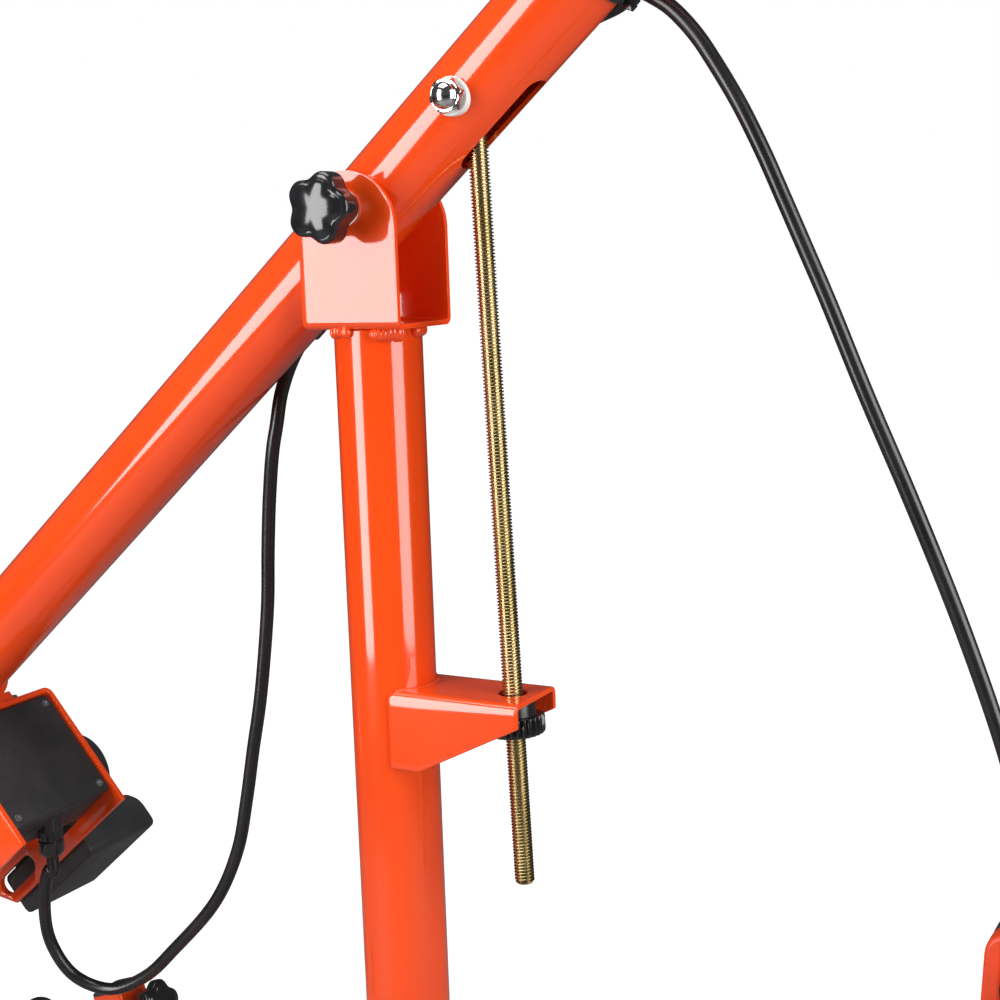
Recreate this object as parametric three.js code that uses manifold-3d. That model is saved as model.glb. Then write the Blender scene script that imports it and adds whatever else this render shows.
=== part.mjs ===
// Portable luffing jib crane: one mast carries a pivoting boom, a screw jack sets the boom's angle,
// and a small electric hoist works on the load arm. Millimetres, +Z up, origin on the floor under
// the mast axis. The boom points along X: load arm to -X, tail to +X.
import * as THREE from 'three';
import { mergeVertices } from 'three/addons/utils/BufferGeometryUtils.js';
import Module from 'manifold-3d';

const wasm = await Module();
wasm.setup();

// ---- driving dimensions ----
const gap = 0.3; // between touching pieces
const slip = 0.4; // between turning pieces
const deg = Math.PI / 180;

const mastRadius = 25.4; // 2 inch tube
const mastWall = 2.6;
const pinHeight = 1010;

const boomRadius = 25.4;
const boomWall = 2.5;
const boomRestAngle = 40.75; // tail up, degrees
const loadArm = 700;
const tailArm = 400;

const clevisPlate = 3;
const earHalfWidth = 31.9;
const earTop = 20.6; // above the pin
const clevisDepth = 67.2; // pin to the underside of the clevis floor
const clevisBend = 5;

const pivotRadius = 6;
const sleeveRadius = 9;
const pivotWasherRadius = 10;
const pivotWasherThick = 2.2;
const pivotHeadRadius = 12;
const pivotHeadLength = 13;
const pivotHexRadius = 10;
const pivotHexHeight = 8;
const knobRadius = 20;
const knobThick = 17;
const knobStem = 11.6;
const knobStemRadius = 8;

const rodRadius = 5.85;
const rodTopX = 69.1; // rod axis at the cross bolt's height
const rodBottomX = 80.2; // rod axis at the bracket
const rodBelowBolt = 15; // rod's upper end to the cross bolt
const rodBottomDepth = 388.3; // pin to the rod's lower end
const crossBoltAlong = 88.7; // along the boom from the pin
const crossBoltDrop = 3;
const crossBoltRadius = 6;
const crossWasherRadius = 10.4;
const crossWasherThick = 1.8;
const nutAcross = 17.4;
const nutHeight = 5.4;
const slotStart = 58.5;
const slotEnd = 125;
const slotWidth = 15;

const bracketDepth = 275.6; // pin to the top of the bracket
const bracketPlate = 3;
const bracketHalfWidth = 24.6;
const bracketReach = 95.3;
const bracketStart = 11;
const bracketDeep = 46;
const bracketDeepTo = 30;
const bracketShallow = 13.5;
const bracketHole = 8.4;

const wheelRadius = 17.6;
const wheelThick = 11;
const collarRadius = 12.7;
const collarHeight = 8.5;

const cableRadius = 4.3;
const clipAt = [-92, 29, -9.7]; // the held cable at its clip, in the boom's frame
const clipLength = 12;
const clipWall = 2.4;
const tieAt = [183, 22.8, -20]; // and at its tie
const tieHalf = 2.4;
const tieBand = 1.4;
const tieRoom = 1; // the cable bends a little inside its tie
const pendantHinge = [183, 21.8, 88.2]; // bend of the pendant's cable, from the pin
const hingeGap = 3.6; // from that bend to each cable's end

const hoistBack = -460; // end of the hoist towards the mast
const hoistFront = -620;
const hoistTop = -33;
const hoistPlate = 4;
const hoistHalfWidth = 50;
const hoistDeep = 96;
const drumAlong = -565;
const drumRadius = 20;
const drumFlange = 29;
const ropeRadius = 2;
const ropeLine = -48; // rope below the boom axis
const drumHalfWidth = 26;
const motorRadius = 34;
const motorLength = 86;
const gearboxRadius = 40;
const gearboxLength = 30;
const controllerLength = 42;
const controllerDeep = 84;
const bandThick = 3.5;
const bandWidth = 20;
const batteryLength = 92;
const batteryDeep = 34;

const sheaveAlong = -718;
const sheaveRadius = 28; // to the rope's centre line
const sheaveWidth = 10;
const cheekGap = 14;
const cheekPlate = 4;
const fallLength = 150;

const frameWall = 3;
const frameBottom = 40;
const frameHeight = 40;
const spineWidth = 50;
const spineFront = -208;
const spineRear = 380;
const frontBarX = -233;
const frontBarHalf = 165;
const rearBarX = 400;
const rearBarHalf = 150;
const barWidth = 50;
const rearBarWidth = 40;
const socketHeight = 160;
const socketWall = 3.4;
const socketKnobHeight = 120;
const footRadius = 30;

const wheelR = 60; // transport wheel
const wheelWidth = 30;
const axleRadius = 8;

const legSide = 30;
const legWall = 2.5;
const legLength = 340;
const legY = 120;
const legLean = 20; // degrees from upright when folded
const legPinRise = 22;
const legPinRadius = 5;
const lugPlate = 5;
const levelAlong = 318;
const levelRadius = 5;
const padRadius = 25;

const weightX = 285;
const weightLength = 110;
const weightWidth = 180;
const weightHeight = 75;
const weightPostRadius = 8;

const pendantLength = 138;
const pendantWidth = 50;
const pendantDepth = 34;

// The held cable's route in the boom's frame: from the clip, over the pivot and the cross bolt, to the tie.
const heldRoute = [
  [-86, 29, -9.6], [-74, 31.5, -3], [-60, 34.2, 4], [-40, 34.2, 12], [-20, 34.2, 17], [0, 34.2, 18.5],
  [20, 34.2, 18.5], [45, 34.2, 17], [65, 31, 15], [80, 28, 13.6], [100, 28, 13.2], [120, 29.8, 6.5],
  [140, 30.1, -3], [160, 28.4, -11], [174, 24.5, -18], [178, 23.4, -19.3], tieAt, [186.5, 22.7, -20.5],
];
// Its last stretch beyond the tie, from the pin.
const bendRoute = [[160.5, 22.2, 105.2], [166.4, 22, 102], [174.2, 22, 96.7]];
// The slack loop's route, from the clip down and round to the hoist's gland, from the pin.
const loopRoute = [
  [-72.5, 28.6, -75.5], [-82, 27, -90.5], [-89.3, 25.3, -109], [-93.5, 24.3, -128.7], [-97.4, 24.3, -144],
  [-104.9, 28, -176], [-110.5, 31, -210], [-114.5, 33, -243], [-120, 34, -277], [-126, 34, -311],
  [-134, 34, -345], [-142, 34, -381], [-152, 34, -417], [-173, 34, -456], [-211, 33, -497], [-238, 30, -522],
  [-266, 24, -534], [-291, 16, -525], [-303, 8, -498], [-299, 2, -462], [-290, 0, -440],
];
// The pendant cable's route below the bend, from the pin.
const dropRoute = [
  [190.6, 21.4, 79.2], [197, 21, 70], [212, 20, 46], [225, 20, 20.5], [236.5, 20, -5], [248, 20, -31],
  [259, 20, -56], [279, 21, -105], [302, 24, -160], [326, 28, -222], [347, 32, -285], [360, 34, -335],
];

// ---- materials ----
function finish(color, roughness, metalness) {
  return new THREE.MeshStandardMaterial({ color, roughness, metalness });
}
const orange = finish(0xe8381a, 0.3, 0.0);
const blackPlastic = finish(0x141416, 0.3, 0.0);
const nylon = finish(0xe9e7e0, 0.5, 0.0);
const yellowZinc = finish(0xb9a25c, 0.35, 1.0);
const stainless = finish(0xc4c4c6, 0.2, 1.0);
const zinc = finish(0xa8a9ac, 0.4, 1.0);
const rubber = finish(0x1b1b1c, 0.8, 0.0);
const castIron = finish(0x3a3c40, 0.7, 0.6);
const cableBlack = finish(0x0d0d0f, 0.4, 0.0);
const red = finish(0xc01a16, 0.35, 0.0);
const grey = finish(0x6f7276, 0.5, 0.1);

// ---- solids ----
function toSolid(geometry) {
  geometry.deleteAttribute('normal');
  geometry.deleteAttribute('uv');
  const merged = mergeVertices(geometry, 1e-4);
  return new wasm.Manifold(new wasm.Mesh({
    numProp: 3,
    vertProperties: new Float32Array(merged.attributes.position.array),
    triVerts: new Uint32Array(merged.index.array),
  }));
}

function toGeometry(solid) {
  const mesh = solid.getMesh();
  const geometry = new THREE.BufferGeometry();
  geometry.setAttribute('position', new THREE.BufferAttribute(new Float32Array(mesh.vertProperties), 3));
  geometry.setIndex(new THREE.BufferAttribute(new Uint32Array(mesh.triVerts), 1));
  geometry.computeVertexNormals();
  return geometry;
}

function vector(point) {
  return new THREE.Vector3(point[0], point[1], point[2]);
}

// Moves a geometry made round the Y axis so that Y points along `direction` and its origin is at `from`.
function aim(geometry, from, direction) {
  const turn = new THREE.Quaternion().setFromUnitVectors(new THREE.Vector3(0, 1, 0), direction.clone().normalize());
  geometry.applyQuaternion(turn);
  geometry.translate(from.x, from.y, from.z);
  return geometry;
}

function block(x0, x1, y0, y1, z0, z1) {
  const geometry = new THREE.BoxGeometry(x1 - x0, y1 - y0, z1 - z0);
  geometry.translate((x0 + x1) / 2, (y0 + y1) / 2, (z0 + z1) / 2);
  return toSolid(geometry);
}

function bar(radius, from, to, sides = 16) {
  const a = vector(from);
  const along = vector(to).sub(a);
  const geometry = new THREE.CylinderGeometry(radius, radius, along.length(), sides);
  geometry.translate(0, along.length() / 2, 0);
  return toSolid(aim(geometry, a, along));
}

function pipe(outer, inner, from, to, sides = 20) {
  const a = vector(from);
  const step = vector(to).sub(a).normalize();
  const start = a.clone().sub(step).toArray();
  const end = vector(to).add(step).toArray();
  return bar(outer, from, to, sides).subtract(bar(inner, start, end, sides));
}

// Turned piece: profile points are [radius, distance along the axis].
function turned(profile, from, direction, sides = 16) {
  const points = profile.map(([r, h]) => new THREE.Vector2(r, h));
  const geometry = new THREE.LatheGeometry(points, sides);
  const solid = toSolid(aim(geometry, vector(from), vector(direction)));
  if (solid.volume() > 0) return solid;
  const flipped = new THREE.LatheGeometry(points.slice().reverse(), sides);
  return toSolid(aim(flipped, vector(from), vector(direction)));
}

// Flat outline in the XZ plane, thick from y0 to y1.
function plate(shape, y0, y1, curveSegments = 8) {
  const geometry = new THREE.ExtrudeGeometry(shape, { depth: y1 - y0, bevelEnabled: false, curveSegments });
  geometry.rotateX(Math.PI / 2);
  geometry.translate(0, y1, 0);
  return toSolid(geometry);
}

function outline(points) {
  return new THREE.Shape(points.map(([x, z]) => new THREE.Vector2(x, z)));
}

// Round tube along a smooth curve through points.
function cord(points, radius, steps, sides) {
  const curve = new THREE.CatmullRomCurve3(points.map(vector), false, 'centripetal');
  const section = new THREE.Shape();
  for (let i = 0; i < sides; i += 1) {
    const angle = (2 * Math.PI * i) / sides;
    const point = [radius * Math.cos(angle), radius * Math.sin(angle)];
    if (i === 0) section.moveTo(...point);
    else section.lineTo(...point);
  }
  const geometry = new THREE.ExtrudeGeometry(section, { steps, extrudePath: curve, bevelEnabled: false });
  return toSolid(geometry);
}

function lobedShape(lobes, radius, depth, perLobe) {
  const points = [];
  const count = lobes * perLobe;
  for (let i = 0; i < count; i += 1) {
    const angle = (2 * Math.PI * i) / count;
    const r = radius - depth * (0.5 - 0.5 * Math.cos(lobes * angle)) ** 0.8;
    points.push(new THREE.Vector2(r * Math.cos(angle), r * Math.sin(angle)));
  }
  return new THREE.Shape(points);
}

// Star knob: its stem starts at `from`, and its domed face looks along `direction`.
function starKnob(radius, thick, stem, stemRadius, bore, boreDepth, from, direction) {
  const shape = lobedShape(5, radius, radius * 0.18, 5);
  const head = new THREE.ExtrudeGeometry(shape, { depth: thick, bevelEnabled: false });
  head.rotateX(-Math.PI / 2);
  head.translate(0, stem, 0);
  const base = new THREE.CylinderGeometry(stemRadius, stemRadius, stem + 1, 12);
  base.translate(0, (stem + 1) / 2, 0);
  const a = vector(from);
  const along = vector(direction);
  const solid = toSolid(aim(head, a, along)).add(toSolid(aim(base, a, along)));
  const end = a.clone().add(along.clone().normalize().multiplyScalar(boreDepth)).toArray();
  const start = a.clone().sub(along.clone().normalize()).toArray();
  return solid.subtract(bar(bore, start, end, 16));
}

const crane = new THREE.Group();
const pinGroup = new THREE.Group(); // origin at the pin, world directions
pinGroup.position.set(0, 0, pinHeight);
const boomGroup = new THREE.Group(); // origin at the pin, +X along the tail
boomGroup.position.set(0, 0, pinHeight);
boomGroup.rotation.y = -boomRestAngle * deg;
crane.add(pinGroup, boomGroup);

function add(group, name, solid, material) {
  const mesh = new THREE.Mesh(toGeometry(solid), material);
  mesh.name = name;
  group.add(mesh);
}

// ---- base ----
const frameTop = frameBottom + frameHeight;
const socketInner = mastRadius + slip;
const socketOuter = socketInner + socketWall;

function boxTubeX(x0, x1, halfWidth, z0, z1, wall) {
  const outer = block(x0, x1, -halfWidth, halfWidth, z0, z1);
  return outer.subtract(block(x0 - 1, x1 + 1, wall - halfWidth, halfWidth - wall, z0 + wall, z1 - wall));
}

function boxTubeY(x, width, half, z0, z1, wall) {
  const outer = block(x - width / 2, x + width / 2, -half, half, z0, z1);
  const inner = block(x - width / 2 + wall, x + width / 2 - wall, -half - 1, half + 1, z0 + wall, z1 - wall);
  return outer.subtract(inner);
}

add(crane, 'rear_crossbar', boxTubeY(rearBarX, rearBarWidth, rearBarHalf, frameBottom, frameTop, frameWall), orange);

const socketBase = frameTop + gap;
const bossLength = 14;
const socketKnobZ = frameTop + socketKnobHeight;
const socketTube = pipe(socketOuter, socketInner, [0, 0, socketBase], [0, 0, socketBase + socketHeight], 32);
const socketFlange = turned(
  [[socketInner, 0], [socketOuter + 12, 0], [socketOuter + 12, 5], [socketInner, 5], [socketInner, 0]],
  [0, 0, socketBase], [0, 0, 1], 32,
);
const socketBoss = bar(11, [0, -socketOuter + 1.5, socketKnobZ], [0, -socketOuter - bossLength, socketKnobZ], 16);
const socketBore = bar(levelRadius + gap, [0, 0, socketKnobZ], [0, -socketOuter - bossLength - 1, socketKnobZ], 16);
add(crane, 'mast_socket', socketTube.add(socketFlange).add(socketBoss).subtract(socketBore), orange);

function foot(x, y) {
  const top = frameBottom - gap;
  return turned([[0, 0], [footRadius - 3, 0], [footRadius, 3], [footRadius - 6, top], [0, top]], [x, y, 0], [0, 0, 1], 32);
}
add(crane, 'centre_foot', foot(0, 0), rubber);
add(crane, 'front_foot_left', foot(frontBarX, -140), rubber);
add(crane, 'front_foot_right', foot(frontBarX, 140), rubber);

// counterweights on a post, held by a knob
const weightBase = frameTop + gap;
const weightTop = weightBase + weightHeight;
const weightHalf = weightWidth / 2;
function counterweight() {
  let weight = block(weightX - weightLength / 2, weightX + weightLength / 2, -weightHalf, weightHalf, weightBase, weightTop);
  weight = weight.subtract(bar(weightPostRadius + 1, [weightX, 0, weightBase - 1], [weightX, 0, weightTop + 1]));
  for (const side of [-1, 1]) {
    const y = side * (weightHalf + 4);
    weight = weight.subtract(bar(14, [weightX, y, weightBase - 1], [weightX, y, weightTop + 1]));
  }
  return weight;
}
add(crane, 'counterweight', counterweight(), castIron);
const postTop = weightTop + 16;
const post = bar(weightPostRadius, [weightX, 0, frameTop - 1], [weightX, 0, postTop]);
const spine = boxTubeX(spineFront + gap, spineRear - gap, spineWidth / 2, frameBottom, frameTop, frameWall);
add(crane, 'base_spine', spine.add(post), orange);
add(crane, 'weight_knob', starKnob(24, 14, 10, 14, weightPostRadius + gap, 17, [weightX, 0, weightTop + gap], [0, 0, 1]), blackPlastic);

// transport wheels
const wheelInner = rearBarHalf + gap + 4 + 3;
const axleEnd = wheelInner + wheelWidth + 3;
let axle = bar(axleRadius, [rearBarX, -axleEnd, wheelR], [rearBarX, axleEnd, wheelR]);
for (const side of [-1, 1]) {
  const name = side < 0 ? 'left' : 'right';
  const from = [rearBarX, side * wheelInner, wheelR];
  const bore = axleRadius + slip;
  const rim = wheelR - 18;
  const w = wheelWidth;
  add(crane, `transport_wheel_${name}`, turned(
    [[bore, 0], [18, 0], [rim - 8, 8], [rim, 1], [wheelR - 6, 1], [wheelR, 8], [wheelR, w - 8], [wheelR - 6, w - 1],
      [rim, w - 1], [rim - 8, w - 8], [18, w], [bore, w], [bore, 0]],
    from, [0, side, 0], 24,
  ), rubber);
  const capFrom = [rearBarX, side * (wheelInner + w + gap), wheelR];
  axle = axle.add(turned([[0, 0], [14, 0], [14, 5], [9, 9], [0, 10]], capFrom, [0, side, 0], 20));
}
add(crane, 'wheel_axle', axle, zinc);

// folding front legs, stowed upright
const legPinZ = frameTop + legPinRise;
const lugInside = legSide / 2 + slip + 1;
const lugOutside = lugInside + lugPlate;
let frontBar = boxTubeY(frontBarX, barWidth, frontBarHalf, frameBottom, frameTop, frameWall);
for (const side of [-1, 1]) {
  const name = side < 0 ? 'left' : 'right';
  const y = side * legY;
  const lugShape = outline([
    [frontBarX - 20, frameTop - 1], [frontBarX + 20, frameTop - 1], [frontBarX + 14, legPinZ + 12], [frontBarX - 14, legPinZ + 12],
  ]);
  for (const sign of [-1, 1]) {
    const y0 = Math.min(y + sign * lugInside, y + sign * lugOutside);
    const hole = bar(legPinRadius + gap, [frontBarX, y - 40, legPinZ], [frontBarX, y + 40, legPinZ], 16);
    frontBar = frontBar.add(plate(lugShape, y0, y0 + lugPlate).subtract(hole));
  }
  const pinInside = y - side * (lugOutside + 7);
  const pinOutside = y + side * (lugOutside + 16);
  const head = bar(9, [frontBarX, y - side * (lugOutside + gap), legPinZ], [frontBarX, pinInside, legPinZ], 6);
  const shank = bar(legPinRadius, [frontBarX, pinInside, legPinZ], [frontBarX, pinOutside, legPinZ], 16);
  add(crane, `leg_pin_${name}`, head.add(shank), zinc);
  const knobSeat = [frontBarX, y + side * (lugOutside + gap), legPinZ];
  add(crane, `leg_lock_knob_${name}`, starKnob(17, 11, 8, 9, legPinRadius + gap, 17, knobSeat, [0, side, 0]), blackPlastic);

  const leg = new THREE.Group(); // +X along the leg, -Z towards its levelling knob
  leg.position.set(frontBarX, y, legPinZ);
  leg.rotation.y = -(90 + legLean) * deg;
  crane.add(leg);
  const h = legSide / 2;
  const tube = boxTubeX(-12, legLength, h, -h, h, legWall);
  const nut = bar(9, [levelAlong, 0, h - 1], [levelAlong, 0, h + 10], 6);
  const pinHole = bar(legPinRadius + slip, [0, -h - 1, 0], [0, h + 1, 0], 16);
  const screwHole = bar(levelRadius + slip, [levelAlong, 0, -h - 1], [levelAlong, 0, h + 11], 16);
  add(leg, `front_leg_${name}`, tube.add(nut).subtract(pinHole).subtract(screwHole), orange);
  const padFace = legPinZ; // the pad reaches the floor when the leg is down
  const knobAt = [levelAlong, 0, -h - 8];
  const stud = bar(levelRadius, [levelAlong, 0, padFace - 12], [levelAlong, 0, -h - 10], 16);
  const pad = turned(
    [[0, 0], [padRadius - 2, 0], [padRadius, 3], [padRadius - 4, 8], [12, 13], [12, 20], [0, 20]],
    [levelAlong, 0, padFace], [0, 0, -1], 20,
  );
  const knob = starKnob(19, 12.5, 9, 9, 1, 1, knobAt, [0, 0, -1]);
  add(leg, `levelling_foot_${name}`, knob.add(stud).add(pad), blackPlastic);
}
add(crane, 'front_crossbar', frontBar, orange);

// mast clamp screw in the socket
const clampTip = -(mastRadius + gap);
const clampSeat = -socketOuter - bossLength - 5;
const clampStud = bar(levelRadius, [0, clampTip, socketKnobZ], [0, clampSeat - 4, socketKnobZ], 16);
const clampHead = starKnob(20, 13, 12, 10, 1, 1, [0, clampSeat, socketKnobZ], [0, -1, 0]);
add(crane, 'mast_clamp_knob', clampStud.add(clampHead), blackPlastic);

// ---- mast ----
const mastBottom = socketBase + gap;
const mastTop = pinHeight - clevisDepth - gap;
add(crane, 'mast_tube', pipe(mastRadius, mastRadius - mastWall, [0, 0, mastBottom], [0, 0, mastTop], 32), orange);

const earInside = boomRadius + slip;
const earOutside = earInside + clevisPlate;

function clevisSolid() {
  const r = clevisBend;
  const inner = Math.max(r - clevisPlate, 0.5);
  const u = new THREE.Shape(); // drawn in Y, Z
  u.moveTo(-earOutside, earTop + 5);
  u.lineTo(-earOutside, -clevisDepth + r);
  u.absarc(-earOutside + r, -clevisDepth + r, r, Math.PI, 1.5 * Math.PI, false);
  u.absarc(earOutside - r, -clevisDepth + r, r, 1.5 * Math.PI, 2 * Math.PI, false);
  u.lineTo(earOutside, earTop + 5);
  u.lineTo(earInside, earTop + 5);
  u.absarc(earInside - inner, -clevisDepth + clevisPlate + inner, inner, 0, -0.5 * Math.PI, true);
  u.absarc(-earInside + inner, -clevisDepth + clevisPlate + inner, inner, 1.5 * Math.PI, Math.PI, true);
  u.lineTo(-earInside, earTop + 5);
  const geometry = new THREE.ExtrudeGeometry(u, { depth: 2 * earHalfWidth, bevelEnabled: false, curveSegments: 3 });
  geometry.rotateX(Math.PI / 2);
  geometry.rotateZ(Math.PI / 2);
  geometry.translate(earHalfWidth, 0, 0);
  geometry.computeBoundingBox();
  const box = geometry.boundingBox;
  geometry.translate(-(box.min.x + box.max.x) / 2, 0, 0);
  const face = new THREE.Shape();
  face.moveTo(-earHalfWidth, -clevisDepth - 1);
  face.lineTo(earHalfWidth, -clevisDepth - 1);
  face.lineTo(earHalfWidth, earTop - earHalfWidth);
  face.absarc(0, earTop - earHalfWidth, earHalfWidth, 0, Math.PI, false);
  const sides = plate(face, -earOutside - 1, earOutside + 1, 16);
  const hole = bar(pivotRadius + slip, [0, -earOutside - 1, 0], [0, earOutside + 1, 0], 32);
  return toSolid(geometry).intersect(sides).subtract(hole);
}
add(pinGroup, 'clevis', clevisSolid(), orange);
// screw bracket: a folded channel, open below, welded to the mast
function bracketSolid() {
  const top = -bracketDepth;
  const shape = outline([
    [bracketStart, top], [bracketStart, top - bracketDeep], [bracketDeepTo, top - bracketDeep],
    [bracketReach, top - bracketShallow], [bracketReach, top],
  ]);
  const channel = plate(shape, -bracketHalfWidth, bracketHalfWidth);
  const inside = bracketHalfWidth - bracketPlate;
  const hollow = block(bracketStart - 1, bracketReach + 1, -inside, inside, top - bracketDeep - 1, top - bracketPlate);
  const mastSpace = bar(mastRadius + gap, [0, 0, top - bracketDeep - 5], [0, 0, top + 5], 32);
  const hole = bar(bracketHole, [rodBottomX, 0, top - bracketPlate - 1], [rodBottomX, 0, top + 1], 32);
  return channel.subtract(hollow).subtract(mastSpace).subtract(hole);
}
add(pinGroup, 'screw_bracket', bracketSolid(), orange);

// pivot bolt, washers, cap and star knob
const knobBase = -(earOutside + gap + pivotWasherThick + gap);
const pivotFront = knobBase - knobStem - 8;
const headStart = earOutside + gap + pivotWasherThick;
const pivotFlange = bar(pivotHeadRadius, [0, earOutside + gap, 0], [0, headStart, 0]);
const pivotHead = bar(pivotHexRadius, [0, headStart, 0], [0, headStart + pivotHexHeight, 0], 6);
add(pinGroup, 'pivot_bolt', bar(pivotRadius, [0, pivotFront, 0], [0, headStart, 0]).add(pivotFlange).add(pivotHead), zinc);
add(pinGroup, 'pivot_washer_front', pipe(pivotWasherRadius, pivotRadius + gap, [0, -earOutside - gap, 0], [0, -earOutside - gap - pivotWasherThick, 0]), nylon);
const capSolid = turned(
  [[0, 0], [pivotHeadRadius, 0], [pivotHeadRadius, pivotHeadLength - 4], [pivotHeadRadius - 4, pivotHeadLength], [0, pivotHeadLength]],
  [0, headStart + gap, 0], [0, 1, 0],
);
add(pinGroup, 'pivot_cap', capSolid.subtract(bar(pivotHexRadius + gap, [0, headStart - 1, 0], [0, headStart + pivotHexHeight + gap, 0], 6)), blackPlastic);
add(pinGroup, 'star_knob', starKnob(knobRadius, knobThick, knobStem, knobStemRadius, pivotRadius + gap, knobStem + 9, [0, knobBase, 0], [0, -1, 0]), blackPlastic);

// luffing screw and its hand wheel
const boltX = crossBoltAlong * Math.cos(boomRestAngle * deg) + crossBoltDrop * Math.sin(boomRestAngle * deg);
const boltZ = crossBoltAlong * Math.sin(boomRestAngle * deg) - crossBoltDrop * Math.cos(boomRestAngle * deg);
const rodAxis = new THREE.Vector3(rodBottomX - rodTopX, 0, -(boltZ + bracketDepth)).normalize(); // pointing down
function onRod(z) {
  return [rodTopX + ((z - boltZ) / rodAxis.z) * rodAxis.x, 0, z];
}
const rodTop = boltZ - rodBelowBolt;
const chamfer = 1.2;
const rodLength = (rodTop + rodBottomDepth) / -rodAxis.z;
add(pinGroup, 'luff_rod', turned(
  [[0, 0], [rodRadius - chamfer, 0], [rodRadius, chamfer], [rodRadius, rodLength - chamfer], [rodRadius - chamfer, rodLength], [0, rodLength]],
  onRod(rodTop), rodAxis.toArray(), 24,
), yellowZinc);

function luffWheel() {
  const from = vector(onRod(-bracketDepth - bracketPlate - slip - collarRadius * rodAxis.x));
  const low = collarHeight + wheelThick;
  const edge = 1.2;
  const bore = rodRadius + slip;
  return turned(
    [[bore, 0], [collarRadius, 0], [collarRadius, collarHeight], [wheelRadius - edge, collarHeight], [wheelRadius, collarHeight + edge],
      [wheelRadius, low - edge], [wheelRadius - edge, low], [bore, low], [bore, 0]],
    from.toArray(), rodAxis.toArray(), 28,
  );
}
add(pinGroup, 'luff_wheel', luffWheel(), blackPlastic);

// ---- boom ----
function boomTube() {
  const tube = pipe(boomRadius, boomRadius - boomWall, [-loadArm, 0, 0], [tailArm, 0, 0], 32);
  const boltHole = bar(crossBoltRadius + gap, [crossBoltAlong, -boomRadius - 1, -crossBoltDrop], [crossBoltAlong, boomRadius + 1, -crossBoltDrop]);
  const r = slotWidth / 2;
  const low = -boomRadius - 1;
  const high = -boomRadius + boomWall + 3;
  const slot = block(slotStart + r, slotEnd - r, -r, r, low, high)
    .add(bar(r, [slotStart + r, 0, low], [slotStart + r, 0, high], 16))
    .add(bar(r, [slotEnd - r, 0, low], [slotEnd - r, 0, high], 16));
  const sleeve = bar(sleeveRadius, [0, -boomRadius, 0], [0, boomRadius, 0]);
  const pivotHole = bar(pivotRadius + slip, [0, -boomRadius - 1, 0], [0, boomRadius + 1, 0]);
  return tube.add(sleeve).subtract(pivotHole).subtract(boltHole).subtract(slot);
}
add(boomGroup, 'boom_tube', boomTube(), orange);

// cross bolt with a dome nut and a nylon washer on each side
const washerFace = boomRadius + gap;
const nutFace = washerFace + crossWasherThick + gap;
const boltEnd = nutFace + nutHeight;
function onCross(y) {
  return [crossBoltAlong, y, -crossBoltDrop];
}
function domeNut(side) {
  const hex = bar(nutAcross / 2 / Math.cos(30 * deg), onCross(side * nutFace), onCross(side * (nutFace + nutHeight)), 6);
  const dome = turned(
    [[0, nutHeight - 1], [6.9, nutHeight - 1], [6.9, nutHeight], [6.2, nutHeight + 2.4], [4.4, nutHeight + 4.4],
      [2, nutHeight + 5.4], [0, nutHeight + 5.6]],
    onCross(side * nutFace), [0, side, 0], 20,
  );
  return hex.add(dome);
}
const crossShank = bar(crossBoltRadius, onCross(-boltEnd), onCross(nutFace + 1));
add(boomGroup, 'cross_bolt', crossShank.add(domeNut(1)), stainless);
const nutThread = bar(crossBoltRadius + gap, onCross(-nutFace + 1), onCross(-boltEnd - gap));
add(boomGroup, 'dome_nut', domeNut(-1).subtract(nutThread), stainless);
// the washer is cut to the tube's curve on its inner face
const crossWasher = pipe(crossWasherRadius, crossBoltRadius + gap, onCross(-boomRadius + 4), onCross(-washerFace - crossWasherThick))
  .subtract(bar(boomRadius + gap, [0, 0, 0], [200, 0, 0], 32));
add(boomGroup, 'cross_washer', crossWasher, nylon);

// tip bracket and sheave
const sheaveDrop = ropeLine - sheaveRadius;
function tipBracket() {
  const shape = outline([
    [sheaveAlong - 34, sheaveDrop - 12], [sheaveAlong - 34, sheaveDrop + 26], [sheaveAlong - 16, -8], [sheaveAlong + 78, -8],
    [sheaveAlong + 78, -50], [sheaveAlong + 22, sheaveDrop - 24], [sheaveAlong - 22, sheaveDrop - 24],
  ]);
  const half = cheekGap / 2;
  const plates = plate(shape, -half - cheekPlate, -half).add(plate(shape, half, half + cheekPlate));
  const web = block(sheaveAlong + 70, sheaveAlong + 78, -half - 1, half + 1, -36, -20);
  const tubeSpace = bar(boomRadius + gap, [-loadArm - 9, 0, 0], [-loadArm + 200, 0, 0], 32);
  const hole = bar(crossBoltRadius + gap, [sheaveAlong, -40, sheaveDrop], [sheaveAlong, 40, sheaveDrop], 16);
  return plates.add(web).subtract(tubeSpace).subtract(hole);
}
add(boomGroup, 'tip_bracket', tipBracket(), orange);
const halfSheave = sheaveWidth / 2;
const sheaveBore = crossBoltRadius + slip;
const sheaveRim = sheaveRadius + 4;
const grooveFloor = sheaveRadius - ropeRadius - 2 * slip;
const grooveHalf = 0.8 * ropeRadius;
add(boomGroup, 'tip_sheave', turned(
  [
    [sheaveBore, -halfSheave], [sheaveRim, -halfSheave], [grooveFloor, -grooveHalf], [grooveFloor, grooveHalf],
    [sheaveRim, halfSheave], [sheaveBore, halfSheave], [sheaveBore, -halfSheave],
  ],
  [sheaveAlong, 0, sheaveDrop], [0, 1, 0], 20,
), grey);
const cheekOut = cheekGap / 2 + cheekPlate + gap;
let sheaveBolt = bar(crossBoltRadius, [sheaveAlong, -cheekOut - 11, sheaveDrop], [sheaveAlong, cheekOut + 1, sheaveDrop]);
for (const side of [-1, 1]) {
  sheaveBolt = sheaveBolt.add(bar(10, [sheaveAlong, side * cheekOut, sheaveDrop], [sheaveAlong, side * (cheekOut + 8), sheaveDrop], 6));
}
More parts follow.
